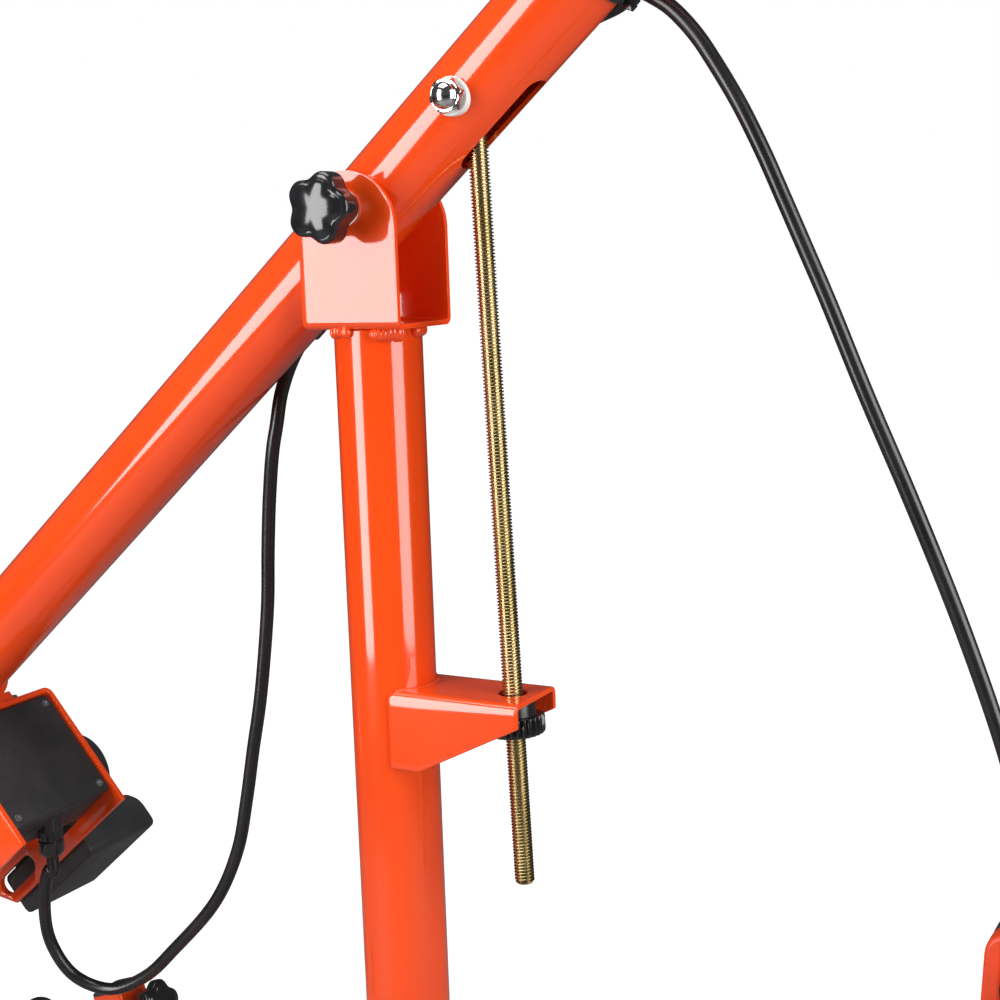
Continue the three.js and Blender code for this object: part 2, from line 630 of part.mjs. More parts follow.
add(boomGroup, 'sheave_bolt', sheaveBolt, zinc);

// hoist: open frame clamped under the boom, drum, gearbox, motor, battery and controller
const frameUnder = hoistTop - hoistPlate;
const hoistLow = frameUnder - hoistDeep;
const drumDrop = ropeLine - drumRadius - ropeRadius;
function hoistFrame() {
  const h = hoistHalfWidth;
  const top = block(hoistFront, hoistBack, -h, h, frameUnder, hoistTop);
  const left = block(hoistFront, hoistBack, -h, -h + hoistPlate, hoistLow, frameUnder);
  const right = block(hoistFront, hoistBack, h - hoistPlate, h, hoistLow, frameUnder);
  const hole = bar(7 + gap, [drumAlong, -h - 1, drumDrop], [drumAlong, h + 1, drumDrop], 16);
  let frame = top.add(left).add(right).subtract(hole);
  for (const x of [hoistBack - 12, hoistFront + 12]) {
    const foot = block(x - bandWidth / 2, x + bandWidth / 2, -18, 18, hoistTop - 0.5, -20);
    const band = pipe(boomRadius + gap + bandThick, boomRadius + gap, [x - bandWidth / 2, 0, 0], [x + bandWidth / 2, 0, 0], 32);
    frame = frame.add(foot.subtract(bar(boomRadius + gap, [x - 40, 0, 0], [x + 40, 0, 0], 32))).add(band);
  }
  return frame;
}
add(boomGroup, 'hoist_frame', hoistFrame(), orange);
const flangeIn = drumHalfWidth;
add(boomGroup, 'rope_drum', turned(
  [[0, -flangeIn - 22], [7, -flangeIn - 22], [7, -flangeIn - 4], [drumFlange, -flangeIn - 4], [drumFlange, -flangeIn], [drumRadius, -flangeIn],
    [drumRadius, flangeIn], [drumFlange, flangeIn], [drumFlange, flangeIn + 4], [7, flangeIn + 4], [7, flangeIn + 22], [0, flangeIn + 22]],
  [drumAlong, 0, drumDrop], [0, 1, 0], 20,
), grey);
const motorFace = hoistHalfWidth + gap;
const shaftRoom = (y) => bar(7 + slip, [drumAlong, 0, drumDrop], [drumAlong, y, drumDrop], 16);
const motor = turned(
  [[0, 0], [motorRadius, 0], [motorRadius, motorLength - 8], [motorRadius - 8, motorLength], [0, motorLength]],
  [drumAlong, motorFace, drumDrop], [0, 1, 0], 20,
);
const batteryTop = drumDrop - motorRadius - 6;
const railHalf = 34;
const motorFoot = block(drumAlong - railHalf, drumAlong + railHalf, motorFace + 6, motorFace + 66, batteryTop, drumDrop);
add(boomGroup, 'hoist_motor', motor.add(motorFoot).subtract(shaftRoom(motorFace + 4)), blackPlastic);
add(boomGroup, 'hoist_gearbox', turned(
  [[0, 0], [gearboxRadius, 0], [gearboxRadius, gearboxLength - 6], [gearboxRadius - 6, gearboxLength], [0, gearboxLength]],
  [drumAlong, -motorFace, drumDrop], [0, -1, 0], 20,
).subtract(shaftRoom(-motorFace - 4)), grey);
add(boomGroup, 'hoist_battery', block(
  drumAlong - batteryLength / 2, drumAlong + batteryLength / 2, motorFace + 2, motorFace + 72, batteryTop - gap - batteryDeep, batteryTop - gap,
), blackPlastic);
const boxHalf = hoistHalfWidth - hoistPlate - gap;
const boxFront = hoistBack - 2 - controllerLength;
const controllerBox = (grow) => block(
  boxFront - grow, hoistBack - 2 + grow, -boxHalf - grow, boxHalf + grow, frameUnder - gap - controllerDeep - grow, frameUnder - gap + grow,
);
add(boomGroup, 'hoist_controller', controllerBox(0), blackPlastic);

// cable gland under the controller, hanging plumb
const restTurn = new THREE.Matrix4().makeRotationY(-boomRestAngle * deg);
function boomToPin(point) {
  return vector(point).applyMatrix4(restTurn);
}
const glandSeat = boomToPin([(boxFront + hoistBack - 2) / 2, 0, frameUnder - gap - controllerDeep]);
const glandLow = glandSeat.z - 22;
const glandBar = bar(9, [glandSeat.x, 0, glandSeat.z + 14], [glandSeat.x, 0, glandLow], 16);
add(pinGroup, 'cable_gland', glandBar.subtract(controllerBox(gap).transform(restTurn.elements)), blackPlastic);

// rope: drum to sheave under the boom, then the fall
const wrapStart = 90 * deg;
const wrapEnd = (90 + 90 - boomRestAngle) * deg;
const ropePoints = [];
for (let i = 0; i <= 3; i += 1) {
  ropePoints.push([drumAlong - 12 + ((sheaveAlong + 10 - drumAlong + 12) * i) / 3, 0, ropeLine]);
}
for (let i = 0; i <= 4; i += 1) {
  const angle = wrapStart + ((wrapEnd - wrapStart) * 0.86 * i) / 4;
  ropePoints.push([sheaveAlong + sheaveRadius * Math.cos(angle), 0, sheaveDrop + sheaveRadius * Math.sin(angle)]);
}
ropePoints[0][2] = ropeLine + 0.6;
add(boomGroup, 'rope_run', cord(ropePoints, ropeRadius, 12, 6), zinc);
const sheaveCentre = boomToPin([sheaveAlong, 0, sheaveDrop]);
const fallX = sheaveCentre.x - sheaveRadius;
const fallTop = sheaveCentre.z - 1;
const fallBottom = fallTop - fallLength;
add(pinGroup, 'rope_fall', bar(ropeRadius, [fallX, 0, fallTop], [fallX, 0, fallBottom], 12), zinc);

// hook block, swivel hook and safety latch
const blockTop = fallBottom - gap;
add(pinGroup, 'hook_ferrule', turned([[0, 0], [5, 0], [9, -8], [14, -14], [14, -40], [9, -46], [0, -46]], [fallX, 0, blockTop], [0, 0, 1], 32), blackPlastic);
const hookTop = blockTop - 46 - slip;
function hookSolid() {
  const shank = bar(7, [fallX, 0, hookTop], [fallX, 0, hookTop - 26], 16);
  const centre = [fallX, hookTop - 58];
  const points = [[fallX, 0, hookTop - 22], [fallX + 3, 0, hookTop - 30]];
  const reach = 24;
  for (let i = 0; i <= 9; i += 1) {
    const angle = (55 - (i * 250) / 9) * deg;
    points.push([centre[0] + reach * Math.cos(angle), 0, centre[1] + reach * Math.sin(angle)]);
  }
  return shank.add(cord(points, 6.2, 16, 8));
}
add(pinGroup, 'hook', hookSolid(), orange);
const latchAngle = (55 - 250) * deg;
const latchTip = [fallX + 24 * Math.cos(latchAngle), hookTop - 58 + 24 * Math.sin(latchAngle)];
const latchRoot = [fallX - 8.5, hookTop - 20];
const latchShape = outline([
  [latchRoot[0] - 5, latchRoot[1] + 3], [latchRoot[0] + 0.5, latchRoot[1] + 3], [latchTip[0] + 8, latchTip[1] + 9], [latchTip[0] + 2, latchTip[1] + 9],
]);
add(pinGroup, 'hook_latch', plate(latchShape, -4, 4), zinc);

// ---- cables ----
function towards(from, to, distance) {
  const a = vector(from);
  return a.add(vector(to).sub(a).normalize().multiplyScalar(distance)).toArray();
}
const clipHalf = clipLength / 2;
const heldStart = [clipAt[0] - clipHalf, clipAt[1], clipAt[2]];
const heldPoints = [heldStart, clipAt, ...heldRoute].map((point) => boomToPin(point).toArray());
const heldEnd = towards(pendantHinge, bendRoute[bendRoute.length - 1], hingeGap);
add(pinGroup, 'cable_run', cord([...heldPoints, ...bendRoute, heldEnd], cableRadius, 48, 8), cableBlack);

function ringOnBoom([x, y, z], half, wall) {
  return pipe(cableRadius + wall, cableRadius + gap, [x - half, y, z], [x + half, y, z], 16);
}

function boomSpace(x, half) {
  return bar(boomRadius + gap, [x - half - 5, 0, 0], [x + half + 5, 0, 0], 32);
}

function armClip() {
  const [x, y, z] = clipAt;
  const tabLow = z + cableRadius + gap + 0.6;
  const tab = block(x - clipHalf, x + clipHalf, boomRadius - 1, y + 0.6, tabLow, tabLow + 11);
  return ringOnBoom(clipAt, clipHalf, clipWall).add(tab).subtract(boomSpace(x, clipHalf));
}
add(boomGroup, 'cable_clip', armClip(), blackPlastic);

function tailTie() {
  const [x, y, z] = tieAt;
  const inner = boomRadius + gap;
  const band = pipe(inner + tieBand, inner, [x - tieHalf, 0, 0], [x + tieHalf, 0, 0], 32);
  const cableSpace = bar(cableRadius + tieRoom, [x - tieHalf - 5, y, z], [x + tieHalf + 5, y, z], 16);
  return band.add(ringOnBoom(tieAt, tieHalf, tieRoom + tieBand)).subtract(boomSpace(x, tieHalf)).subtract(cableSpace);
}
add(boomGroup, 'cable_tie', tailTie(), blackPlastic);

// the slack loop to the hoist, and the pendant's cable
const alongArm = boomToPin([heldStart[0] - 4, clipAt[1], clipAt[2]]).toArray();
const loopStart = towards(boomToPin(heldStart).toArray(), alongArm, gap);
const loopEnd = [glandSeat.x, 0, glandLow - 2 * gap];
const loopLast = [glandSeat.x, 0, loopEnd[2] - 12];
add(pinGroup, 'cable_loop', cord([loopStart, ...loopRoute, loopLast, loopEnd], cableRadius, 36, 8), cableBlack);
const pendantX = 364;
const pendantY = 34;
const pendantTop = -380;
const dropStart = towards(pendantHinge, dropRoute[0], hingeGap);
const dropEnd = [pendantX, pendantY, pendantTop + 18 + 2 * gap];
const dropLast = [pendantX, pendantY, dropEnd[2] + 12];
add(pinGroup, 'cable_drop', cord([dropStart, ...dropRoute, dropLast, dropEnd], cableRadius, 24, 8), cableBlack);

// ---- pendant control ----
add(pinGroup, 'pendant_gland', turned(
  [[0, 0], [11, 0], [10, 6], [7, 18], [0, 18]], [pendantX, pendantY, pendantTop], [0, 0, 1], 24,
), blackPlastic);
function pendantHalf(side) {
  const w = pendantWidth / 2;
  const d = pendantDepth / 2;
  const shape = new THREE.Shape();
  const low = pendantTop - gap - pendantLength;
  const high = pendantTop - gap;
  const r = 14;
  shape.moveTo(pendantX - w + 6, high);
  shape.absarc(pendantX - w + 6, high - 6, 6, 0.5 * Math.PI, Math.PI, false);
  shape.absarc(pendantX - w + r, low + r, r, Math.PI, 1.5 * Math.PI, false);
  shape.absarc(pendantX + w - r, low + r, r, 1.5 * Math.PI, 2 * Math.PI, false);
  shape.absarc(pendantX + w - 6, high - 6, 6, 0, 0.5 * Math.PI, false);
  const y0 = side < 0 ? pendantY - d : pendantY + gap / 2;
  const y1 = side < 0 ? pendantY - gap / 2 : pendantY + d;
  return plate(shape, y0, y1, 3);
}
const frontFace = pendantY - pendantDepth / 2;
const buttonTravel = 3;
const buttons = [['stop_button', 30, 12, red], ['up_button', 66, 10, nylon], ['down_button', 96, 10, grey]];
let pendantFront = pendantHalf(-1);
for (const [, drop, radius] of buttons) {
  const z = pendantTop - drop;
  pendantFront = pendantFront.subtract(bar(radius + slip, [pendantX, frontFace - 1, z], [pendantX, frontFace + 9, z], 20));
}
add(pinGroup, 'pendant_front', pendantFront, orange);
add(pinGroup, 'pendant_back', pendantHalf(1), blackPlastic);
for (const [name, drop, radius, material] of buttons) {
  const proud = name === 'stop_button' ? 9 : 4;
  const depth = 9 - buttonTravel - slip;
  add(pinGroup, name, turned(
    [[0, -depth], [radius, -depth], [radius, proud - 1.5], [radius - 2, proud], [0, proud]],
    [pendantX, frontFace, pendantTop - drop], [0, -1, 0], 20,
  ), material);
}

export default crane;
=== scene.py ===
import math
import random

import bmesh
import bpy
from mathutils import Matrix, Vector, noise
from mathutils.geometry import tessellate_polygon


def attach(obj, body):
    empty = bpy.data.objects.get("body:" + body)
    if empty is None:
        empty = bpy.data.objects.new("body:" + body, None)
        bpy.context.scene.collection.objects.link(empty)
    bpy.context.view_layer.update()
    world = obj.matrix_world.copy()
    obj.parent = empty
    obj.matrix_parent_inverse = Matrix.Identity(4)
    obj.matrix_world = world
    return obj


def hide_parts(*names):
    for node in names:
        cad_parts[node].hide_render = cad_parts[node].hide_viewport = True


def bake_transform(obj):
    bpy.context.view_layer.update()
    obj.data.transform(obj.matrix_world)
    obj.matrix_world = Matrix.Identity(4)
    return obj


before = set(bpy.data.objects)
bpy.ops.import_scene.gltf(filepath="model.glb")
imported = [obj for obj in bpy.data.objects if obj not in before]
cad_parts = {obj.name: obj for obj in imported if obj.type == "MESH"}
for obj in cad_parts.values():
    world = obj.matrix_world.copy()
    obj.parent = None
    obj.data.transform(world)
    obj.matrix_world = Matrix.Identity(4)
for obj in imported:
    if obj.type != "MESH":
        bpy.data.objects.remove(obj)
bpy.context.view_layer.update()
unit = 0.001  # millimetres to metres
scene = bpy.context.scene
print("frame loaded:", len(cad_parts), "nodes")

# The crane's own directions.
crane = {
    "pinHeight": 1010.0,
    "boomAngle": 40.75,
    "tubeRadius": 25.4,
    "legLean": 20.0,
    "legHinge": (-233.0, 120.0, 102.0),
}
boomTilt = math.radians(crane["boomAngle"])
worldFrame = Matrix.Identity(4)
pinFrame = Matrix.Translation((0, 0, crane["pinHeight"]))
boomFrame = pinFrame @ Matrix.Rotation(-boomTilt, 4, "Y")  # X along the tail, Z out of its upper side


def boomToPin(point):
    return Matrix.Rotation(-boomTilt, 3, "Y") @ Vector(point)


# ---- camera ----
shot = {"place": (0.514717, -0.796985, 0.987985), "turn": 28.827, "dip": 8.889, "roll": -1.957, "lens": 59.07}
camera = bpy.data.objects.new("studioCamera", bpy.data.cameras.new("studioCamera"))
camera.data.lens = shot["lens"]
camera.data.sensor_width = 36
camera.data.clip_start = 0.01
camera.matrix_world = (
    Matrix.Translation(shot["place"])
    @ Matrix.Rotation(math.radians(shot["turn"]), 4, "Z")
    @ Matrix.Rotation(math.radians(90 - shot["dip"]), 4, "X")
    @ Matrix.Rotation(math.radians(shot["roll"]), 4, "Z")
)
scene.collection.objects.link(camera)
scene.camera = camera


# ---- node helpers and shared surface effects ----
def put(tree, kind, inputs=None, **settings):
    node = tree.nodes.new(kind)
    for key, value in settings.items():
        setattr(node, key, value)
    for key, value in (inputs or {}).items():
        if isinstance(value, bpy.types.NodeSocket):
            tree.links.new(value, node.inputs[key])
        else:
            node.inputs[key].default_value = value
    return node


def effect(name, inputs, outputs):
    tree = bpy.data.node_groups.new(name, "ShaderNodeTree")
    for label, value in inputs.items():
        kind = "NodeSocketColor" if isinstance(value, tuple) else "NodeSocketFloat"
        tree.interface.new_socket(label, in_out="INPUT", socket_type=kind).default_value = value
    for label, kind in outputs.items():
        tree.interface.new_socket(label, in_out="OUTPUT", socket_type=kind)
    return tree, put(tree, "NodeGroupInput"), put(tree, "NodeGroupOutput")


def noiseAt(tree, scale, detail=3.0, stretch=None, rough=0.5):
    place = put(tree, "ShaderNodeTexCoord").outputs["Object"]
    if stretch:
        place = put(tree, "ShaderNodeMapping", {"Vector": place, "Scale": stretch}).outputs["Vector"]
    return put(tree, "ShaderNodeTexNoise", {"Vector": place, "Scale": scale, "Detail": detail, "Roughness": rough})


def linkMix(tree, mixed, main, other, factor):
    # the colour sockets of a Mix node share their names with its float ones, so they go by place
    tree.links.new(factor, mixed.inputs[0])
    tree.links.new(main, mixed.inputs[6])
    tree.links.new(other, mixed.inputs[7])
    return mixed.outputs[2]


def buildEffects():
    made = {}
    tree, enter, leave = effect(
        "toneDrift", {"Main": (1, 1, 1, 1), "Other": (1, 1, 1, 1), "Size": 14.0}, {"Colour": "NodeSocketColor"}
    )
    slow = noiseAt(tree, enter.outputs["Size"], 4)
    fine = noiseAt(tree, 420, 2)
    both = put(tree, "ShaderNodeMath", {0: fine.outputs["Fac"], 1: 0.3, 2: slow.outputs["Fac"]}, operation="MULTIPLY_ADD")
    spread = put(tree, "ShaderNodeMapRange", {"Value": both.outputs[0], "From Min": 0.45, "From Max": 0.85})
    mixed = put(tree, "ShaderNodeMix", data_type="RGBA")
    colour = linkMix(tree, mixed, enter.outputs["Main"], enter.outputs["Other"], spread.outputs["Result"])
    tree.links.new(colour, leave.inputs["Colour"])
    made["toneDrift"] = tree

    tree, enter, leave = effect("sheenDrift", {"Low": 0.2, "High": 0.3}, {"Roughness": "NodeSocketFloat"})
    smears = noiseAt(tree, 26, 5, rough=0.62)
    spread = put(
        tree, "ShaderNodeMapRange",
        {"Value": smears.outputs["Fac"], "From Min": 0.35, "From Max": 0.7, "To Min": enter.outputs["Low"], "To Max": enter.outputs["High"]},
    )
    tree.links.new(spread.outputs["Result"], leave.inputs["Roughness"])
    made["sheenDrift"] = tree

    tree, enter, leave = effect(
        "surfaceGrain", {"Size": 900.0, "Wave": 120.0, "Share": 0.5}, {"Height": "NodeSocketFloat"}
    )
    fine = noiseAt(tree, enter.outputs["Size"], 2)
    broad = noiseAt(tree, enter.outputs["Wave"], 1)
    mixed = put(tree, "ShaderNodeMix", {0: enter.outputs["Share"], 2: fine.outputs["Fac"], 3: broad.outputs["Fac"]}, data_type="FLOAT")
    tree.links.new(mixed.outputs[0], leave.inputs["Height"])
    made["surfaceGrain"] = tree
    return made


effects = buildEffects()

# Each finish: two shades, size of their patches per metre, roughness range, bump grain and its depth in metres.
finishes = {
    "orangePaint": {
        "main": (0.94, 0.080, 0.008), "other": (0.90, 0.068, 0.007), "patch": 9, "rough": (0.16, 0.24), "grain": 1100,
        "wave": 170, "share": 0.65, "depth": 0.00003, "coat": 1.0, "coatRough": 0.06, "metal": 0, "nibs": 0.35, "specular": 0.15,
    },
    "blackGloss": {
        "main": (0.010, 0.010, 0.012), "other": (0.018, 0.018, 0.020), "patch": 60, "rough": (0.14, 0.24), "grain": 2400,
        "wave": 300, "share": 0.5, "depth": 0.00001, "coat": 0.3, "coatRough": 0.06, "metal": 0, "nibs": 0,
    },
    "blackSatin": {
        "main": (0.020, 0.020, 0.022), "other": (0.034, 0.034, 0.036), "patch": 40, "rough": (0.42, 0.56), "grain": 2600,
        "wave": 900, "share": 0.4, "depth": 0.00009, "coat": 0, "coatRough": 0.1, "metal": 0, "nibs": 0,
    },
    "whiteNylon": {
        "main": (0.86, 0.85, 0.81), "other": (0.78, 0.77, 0.73), "patch": 80, "rough": (0.30, 0.42), "grain": 1500,
        "wave": 200, "share": 0.5, "depth": 0.00002, "coat": 0, "coatRough": 0.1, "metal": 0, "nibs": 0,
    },
    "stainless": {
        "main": (0.78, 0.77, 0.76), "other": (0.70, 0.69, 0.68), "patch": 120, "rough": (0.10, 0.18), "grain": 3000,
        "wave": 500, "share": 0.3, "depth": 0.000006, "coat": 0, "coatRough": 0.1, "metal": 1, "nibs": 0,
    },
    "brightZinc": {
        "main": (0.60, 0.62, 0.65), "other": (0.45, 0.47, 0.50), "patch": 70, "rough": (0.26, 0.42), "grain": 1700,
        "wave": 260, "share": 0.4, "depth": 0.00003, "coat": 0, "coatRough": 0.1, "metal": 1, "nibs": 0,
    },
    "tyreRubber": {
        "main": (0.022, 0.022, 0.022), "other": (0.045, 0.043, 0.041), "patch": 22, "rough": (0.62, 0.82), "grain": 1300,
        "wave": 260, "share": 0.4, "depth": 0.00012, "coat": 0, "coatRough": 0.1, "metal": 0, "nibs": 0,
    },
    "castIron": {
        "main": (0.050, 0.052, 0.056), "other": (0.085, 0.086, 0.090), "patch": 18, "rough": (0.44, 0.62), "grain": 620,
        "wave": 160, "share": 0.5, "depth": 0.0004, "coat": 0, "coatRough": 0.1, "metal": 0, "nibs": 0,
    },
    "cableSheath": {
        "main": (0.008, 0.008, 0.010), "other": (0.016, 0.015, 0.016), "patch": 35, "rough": (0.24, 0.36), "grain": 1600,
        "wave": 90, "share": 0.7, "depth": 0.00012, "coat": 0.15, "coatRough": 0.15, "metal": 0, "nibs": 0,
    },
    "wireRope": {
        "main": (0.52, 0.53, 0.55), "other": (0.30, 0.30, 0.31), "patch": 260, "rough": (0.30, 0.45), "grain": 3200,
        "wave": 1200, "share": 0.4, "depth": 0.00004, "coat": 0, "coatRough": 0.1, "metal": 1, "nibs": 0,
    },
    "greyCast": {
        "main": (0.36, 0.37, 0.39), "other": (0.28, 0.29, 0.31), "patch": 45, "rough": (0.38, 0.52), "grain": 1200,
        "wave": 300, "share": 0.4, "depth": 0.00008, "coat": 0, "coatRough": 0.1, "metal": 0.7, "nibs": 0,
    },
    "redPlastic": {
        "main": (0.60, 0.012, 0.010), "other": (0.52, 0.010, 0.009), "patch": 60, "rough": (0.20, 0.30), "grain": 2200,
        "wave": 300, "share": 0.5, "depth": 0.00001, "coat": 0.3, "coatRough": 0.08, "metal": 0, "nibs": 0,
    },
    "orangePlastic": {
        "main": (0.80, 0.060, 0.010), "other": (0.74, 0.052, 0.009), "patch": 40, "rough": (0.34, 0.44), "grain": 2400,
        "wave": 700, "share": 0.4, "depth": 0.00005, "coat": 0, "coatRough": 0.1, "metal": 0, "nibs": 0,
    },
    "greyPlastic": {
        "main": (0.16, 0.165, 0.17), "other": (0.13, 0.135, 0.14), "patch": 60, "rough": (0.34, 0.46), "grain": 2400,
        "wave": 700, "share": 0.4, "depth": 0.00004, "coat": 0, "coatRough": 0.1, "metal": 0, "nibs": 0,
    },
}


def makeFinish(name, look):
    material = bpy.data.materials.new(name)
    material.use_nodes = True
    tree = material.node_tree
    tree.nodes.clear()
    drift = put(
        tree, "ShaderNodeGroup", {}, node_tree=effects["toneDrift"],
    )
    drift.inputs["Main"].default_value = (*look["main"], 1)
    drift.inputs["Other"].default_value = (*look["other"], 1)
    drift.inputs["Size"].default_value = look["patch"]
    sheen = put(tree, "ShaderNodeGroup", node_tree=effects["sheenDrift"])
    sheen.inputs["Low"].default_value, sheen.inputs["High"].default_value = look["rough"]
    grain = put(tree, "ShaderNodeGroup", node_tree=effects["surfaceGrain"])
    grain.inputs["Size"].default_value = look["grain"]
    grain.inputs["Wave"].default_value = look["wave"]
    grain.inputs["Share"].default_value = look["share"]
    height = grain.outputs["Height"]
    if look["nibs"]:  # a few specks of dust under the coat
        place = put(tree, "ShaderNodeTexCoord").outputs["Object"]
        cells = put(tree, "ShaderNodeTexVoronoi", {"Vector": place, "Scale": 160.0})
        speck = put(tree, "ShaderNodeMapRange", {"Value": cells.outputs["Distance"], "From Min": 0.0, "From Max": 0.07, "To Min": look["nibs"], "To Max": 0.0})
        height = put(tree, "ShaderNodeMath", {0: height, 1: speck.outputs["Result"]}, operation="ADD").outputs[0]
    bump = put(tree, "ShaderNodeBump", {"Height": height, "Strength": 1.0, "Distance": look["depth"]})
    shader = put(
        tree, "ShaderNodeBsdfPrincipled",
        {
            "Base Color": drift.outputs["Colour"], "Roughness": sheen.outputs["Roughness"], "Normal": bump.outputs["Normal"],
            "Metallic": look["metal"], "Specular IOR Level": look.get("specular", 0.5), "Coat Weight": look["coat"], "Coat Roughness": look["coatRough"], "Coat IOR": 1.6,
        },
    )
    out = put(tree, "ShaderNodeOutputMaterial")
    tree.links.new(shader.outputs["BSDF"], out.inputs["Surface"])
    return material


def makeYellowZinc():  # passivated zinc: gold with olive and rose patches drawn out along the rod
    material = bpy.data.materials.new("yellowZinc")
    material.use_nodes = True
    tree = material.node_tree
    tree.nodes.clear()
    patches = noiseAt(tree, 16, 4, stretch=(2.4, 2.4, 0.6))
    ramp = put(tree, "ShaderNodeValToRGB", {"Fac": patches.outputs["Fac"]})
    stops = [(0.32, (0.30, 0.25, 0.11)), (0.46, (0.50, 0.39, 0.18)), (0.56, (0.58, 0.46, 0.25)), (0.68, (0.48, 0.32, 0.20))]
    while len(ramp.color_ramp.elements) < len(stops):
        ramp.color_ramp.elements.new(0.5)
    for stop, (at, colour) in zip(ramp.color_ramp.elements, stops):
        stop.position = at
        stop.color = (*colour, 1)
    sheen = put(tree, "ShaderNodeGroup", node_tree=effects["sheenDrift"])
    sheen.inputs["Low"].default_value = 0.2
    sheen.inputs["High"].default_value = 0.34
    grain = put(tree, "ShaderNodeGroup", node_tree=effects["surfaceGrain"])
    grain.inputs["Size"].default_value = 2600
    bump = put(tree, "ShaderNodeBump", {"Height": grain.outputs["Height"], "Strength": 1.0, "Distance": 0.00002})
    shader = put(
        tree, "ShaderNodeBsdfPrincipled",
        {"Base Color": ramp.outputs["Color"], "Roughness": sheen.outputs["Roughness"], "Normal": bump.outputs["Normal"], "Metallic": 1.0},
    )
    out = put(tree, "ShaderNodeOutputMaterial")
    tree.links.new(shader.outputs["BSDF"], out.inputs["Surface"])
    return material


paint = {name: makeFinish(name, look) for name, look in finishes.items()}
paint["yellowZinc"] = makeYellowZinc()
print("finishes ready:", len(paint))


# ---- shape helpers: a shape is (points, faces) in millimetres ----
def joined(*shapes):
    points, faces = [], []
    for more, sides in shapes:
        base = len(points)
        points.extend(Vector(p) for p in more)
        faces.extend([base + i for i in side] for side in sides)
    return points, faces


def moved(shape, matrix):
    return [matrix @ Vector(p) for p in shape[0]], shape[1]


def reshaped(shape, rule):
    return [Vector(rule(Vector(p))) for p in shape[0]], shape[1]


def filleted(points, radius, steps=3, closed=False):
    done = []
    count = len(points)
    for i, here in enumerate(points):
        corner = Vector(here)
        if not closed and i in (0, count - 1):
            done.append(tuple(corner))
            continue
        back = Vector(points[i - 1]) - corner
        ahead = Vector(points[(i + 1) % count]) - corner
        reach = min(radius, 0.45 * back.length, 0.45 * ahead.length)
        if reach < 1e-4 or back.angle(ahead) > math.radians(158):
            done.append(tuple(corner))
            continue
        first, last = corner + back.normalized() * reach, corner + ahead.normalized() * reach
        for k in range(steps + 1):
            t = k / steps
            done.append(tuple(first * (1 - t) ** 2 + corner * (2 * t * (1 - t)) + last * t**2))
    return done


def lathe(profile, origin=(0, 0, 0), axis=(0, 0, 1), sides=64, turn=0.0):
    # profile: (radius, height); a radius may be a function of the angle. A closed profile repeats its first point.
    closed = profile[0] == profile[-1]
    rings = profile[:-1] if closed else profile
    swing = Vector((0, 0, 1)).rotation_difference(Vector(axis)).to_matrix()
    points, rows = [], []
    for radius, height in rings:
        if not callable(radius) and radius < 1e-6:
            points.append(swing @ Vector((0, 0, height)) + Vector(origin))
            rows.append([len(points) - 1] * sides)
            continue
        row = []
        for k in range(sides):
            angle = turn + 2 * math.pi * k / sides
            r = radius(angle) if callable(radius) else radius
            points.append(swing @ Vector((r * math.cos(angle), r * math.sin(angle), height)) + Vector(origin))
            row.append(len(points) - 1)
        rows.append(row)
    faces = []
    for low, high in zip(rows, rows[1:] + (rows[:1] if closed else [])):
        for k in range(sides):
            n = (k + 1) % sides
            corners = [low[k], low[n], high[n], high[k]]
            corners = [c for i, c in enumerate(corners) if c not in corners[:i]]
            if len(corners) > 2:
                faces.append(corners)
    return points, faces


def slab(loops, low, high, plane="xz"):
    # an outline, then its holes, drawn in a plane and thick along the third axis
    lift = {
        "xz": lambda p, w: (p[0], w, p[1]),
        "xy": lambda p, w: (p[0], p[1], w),
        "yz": lambda p, w: (w, p[0], p[1]),
    }[plane]
    flat = [p for loop in loops for p in loop]
    count = len(flat)
    points = [lift(p, low) for p in flat] + [lift(p, high) for p in flat]
    if len(loops) == 1:
        faces = [list(range(count))[::-1], [count + i for i in range(count)]]
    else:
        pieces = tessellate_polygon([[Vector((x, y, 0)) for x, y in loop] for loop in loops])
        faces = [list(t) for t in pieces] + [[count + i for i in t] for t in pieces]
    start = 0
    for loop in loops:
        for i in range(len(loop)):
            a, b = start + i, start + (i + 1) % len(loop)
            faces.append([a, b, count + b, count + a])
        start += len(loop)
    return points, faces


def box(x0, x1, y0, y1, z0, z1):
    return slab([[(x0, y0), (x1, y0), (x1, y1), (x0, y1)]], z0, z1, "xy")


def circle(x, y, radius, count=24):
    return [(x + radius * math.cos(2 * math.pi * k / count), y + radius * math.sin(2 * math.pi * k / count)) for k in range(count)]


def stadium(x0, x1, y, radius, count=10):
    right = [(x1 + radius * math.cos(a), y + radius * math.sin(a)) for a in (math.pi * (k / count - 0.5) for k in range(count + 1))]
    left = [(x0 + radius * math.cos(a), y + radius * math.sin(a)) for a in (math.pi * (k / count + 0.5) for k in range(count + 1))]
    return right + left


def softened(shape, width=0.6, steps=2, limit=30):
    form = bmesh.new()
    spots = [form.verts.new(p) for p in shape[0]]
    for side in shape[1]:
        form.faces.new([spots[i] for i in side])
    bmesh.ops.recalc_face_normals(form, faces=form.faces)
    sharp = [e for e in form.edges if len(e.link_faces) == 2 and e.calc_face_angle() > math.radians(limit)]
    bmesh.ops.bevel(form, geom=sharp, offset=width, segments=steps, profile=0.5, affect="EDGES", clamp_overlap=True)
    form.verts.index_update()
    done = [v.co.copy() for v in form.verts], [[v.index for v in f.verts] for f in form.faces]
    form.free()
    return done


def sheetOf(rows):
    # a surface through rows of points
    wide = len(rows[0])
    points = [Vector(p) for row in rows for p in row]
    faces = []
    for i in range(len(rows) - 1):
        for k in range(wide - 1):
            a = i * wide + k
            faces.append([a, a + 1, a + wide + 1, a + wide])
    return points, faces


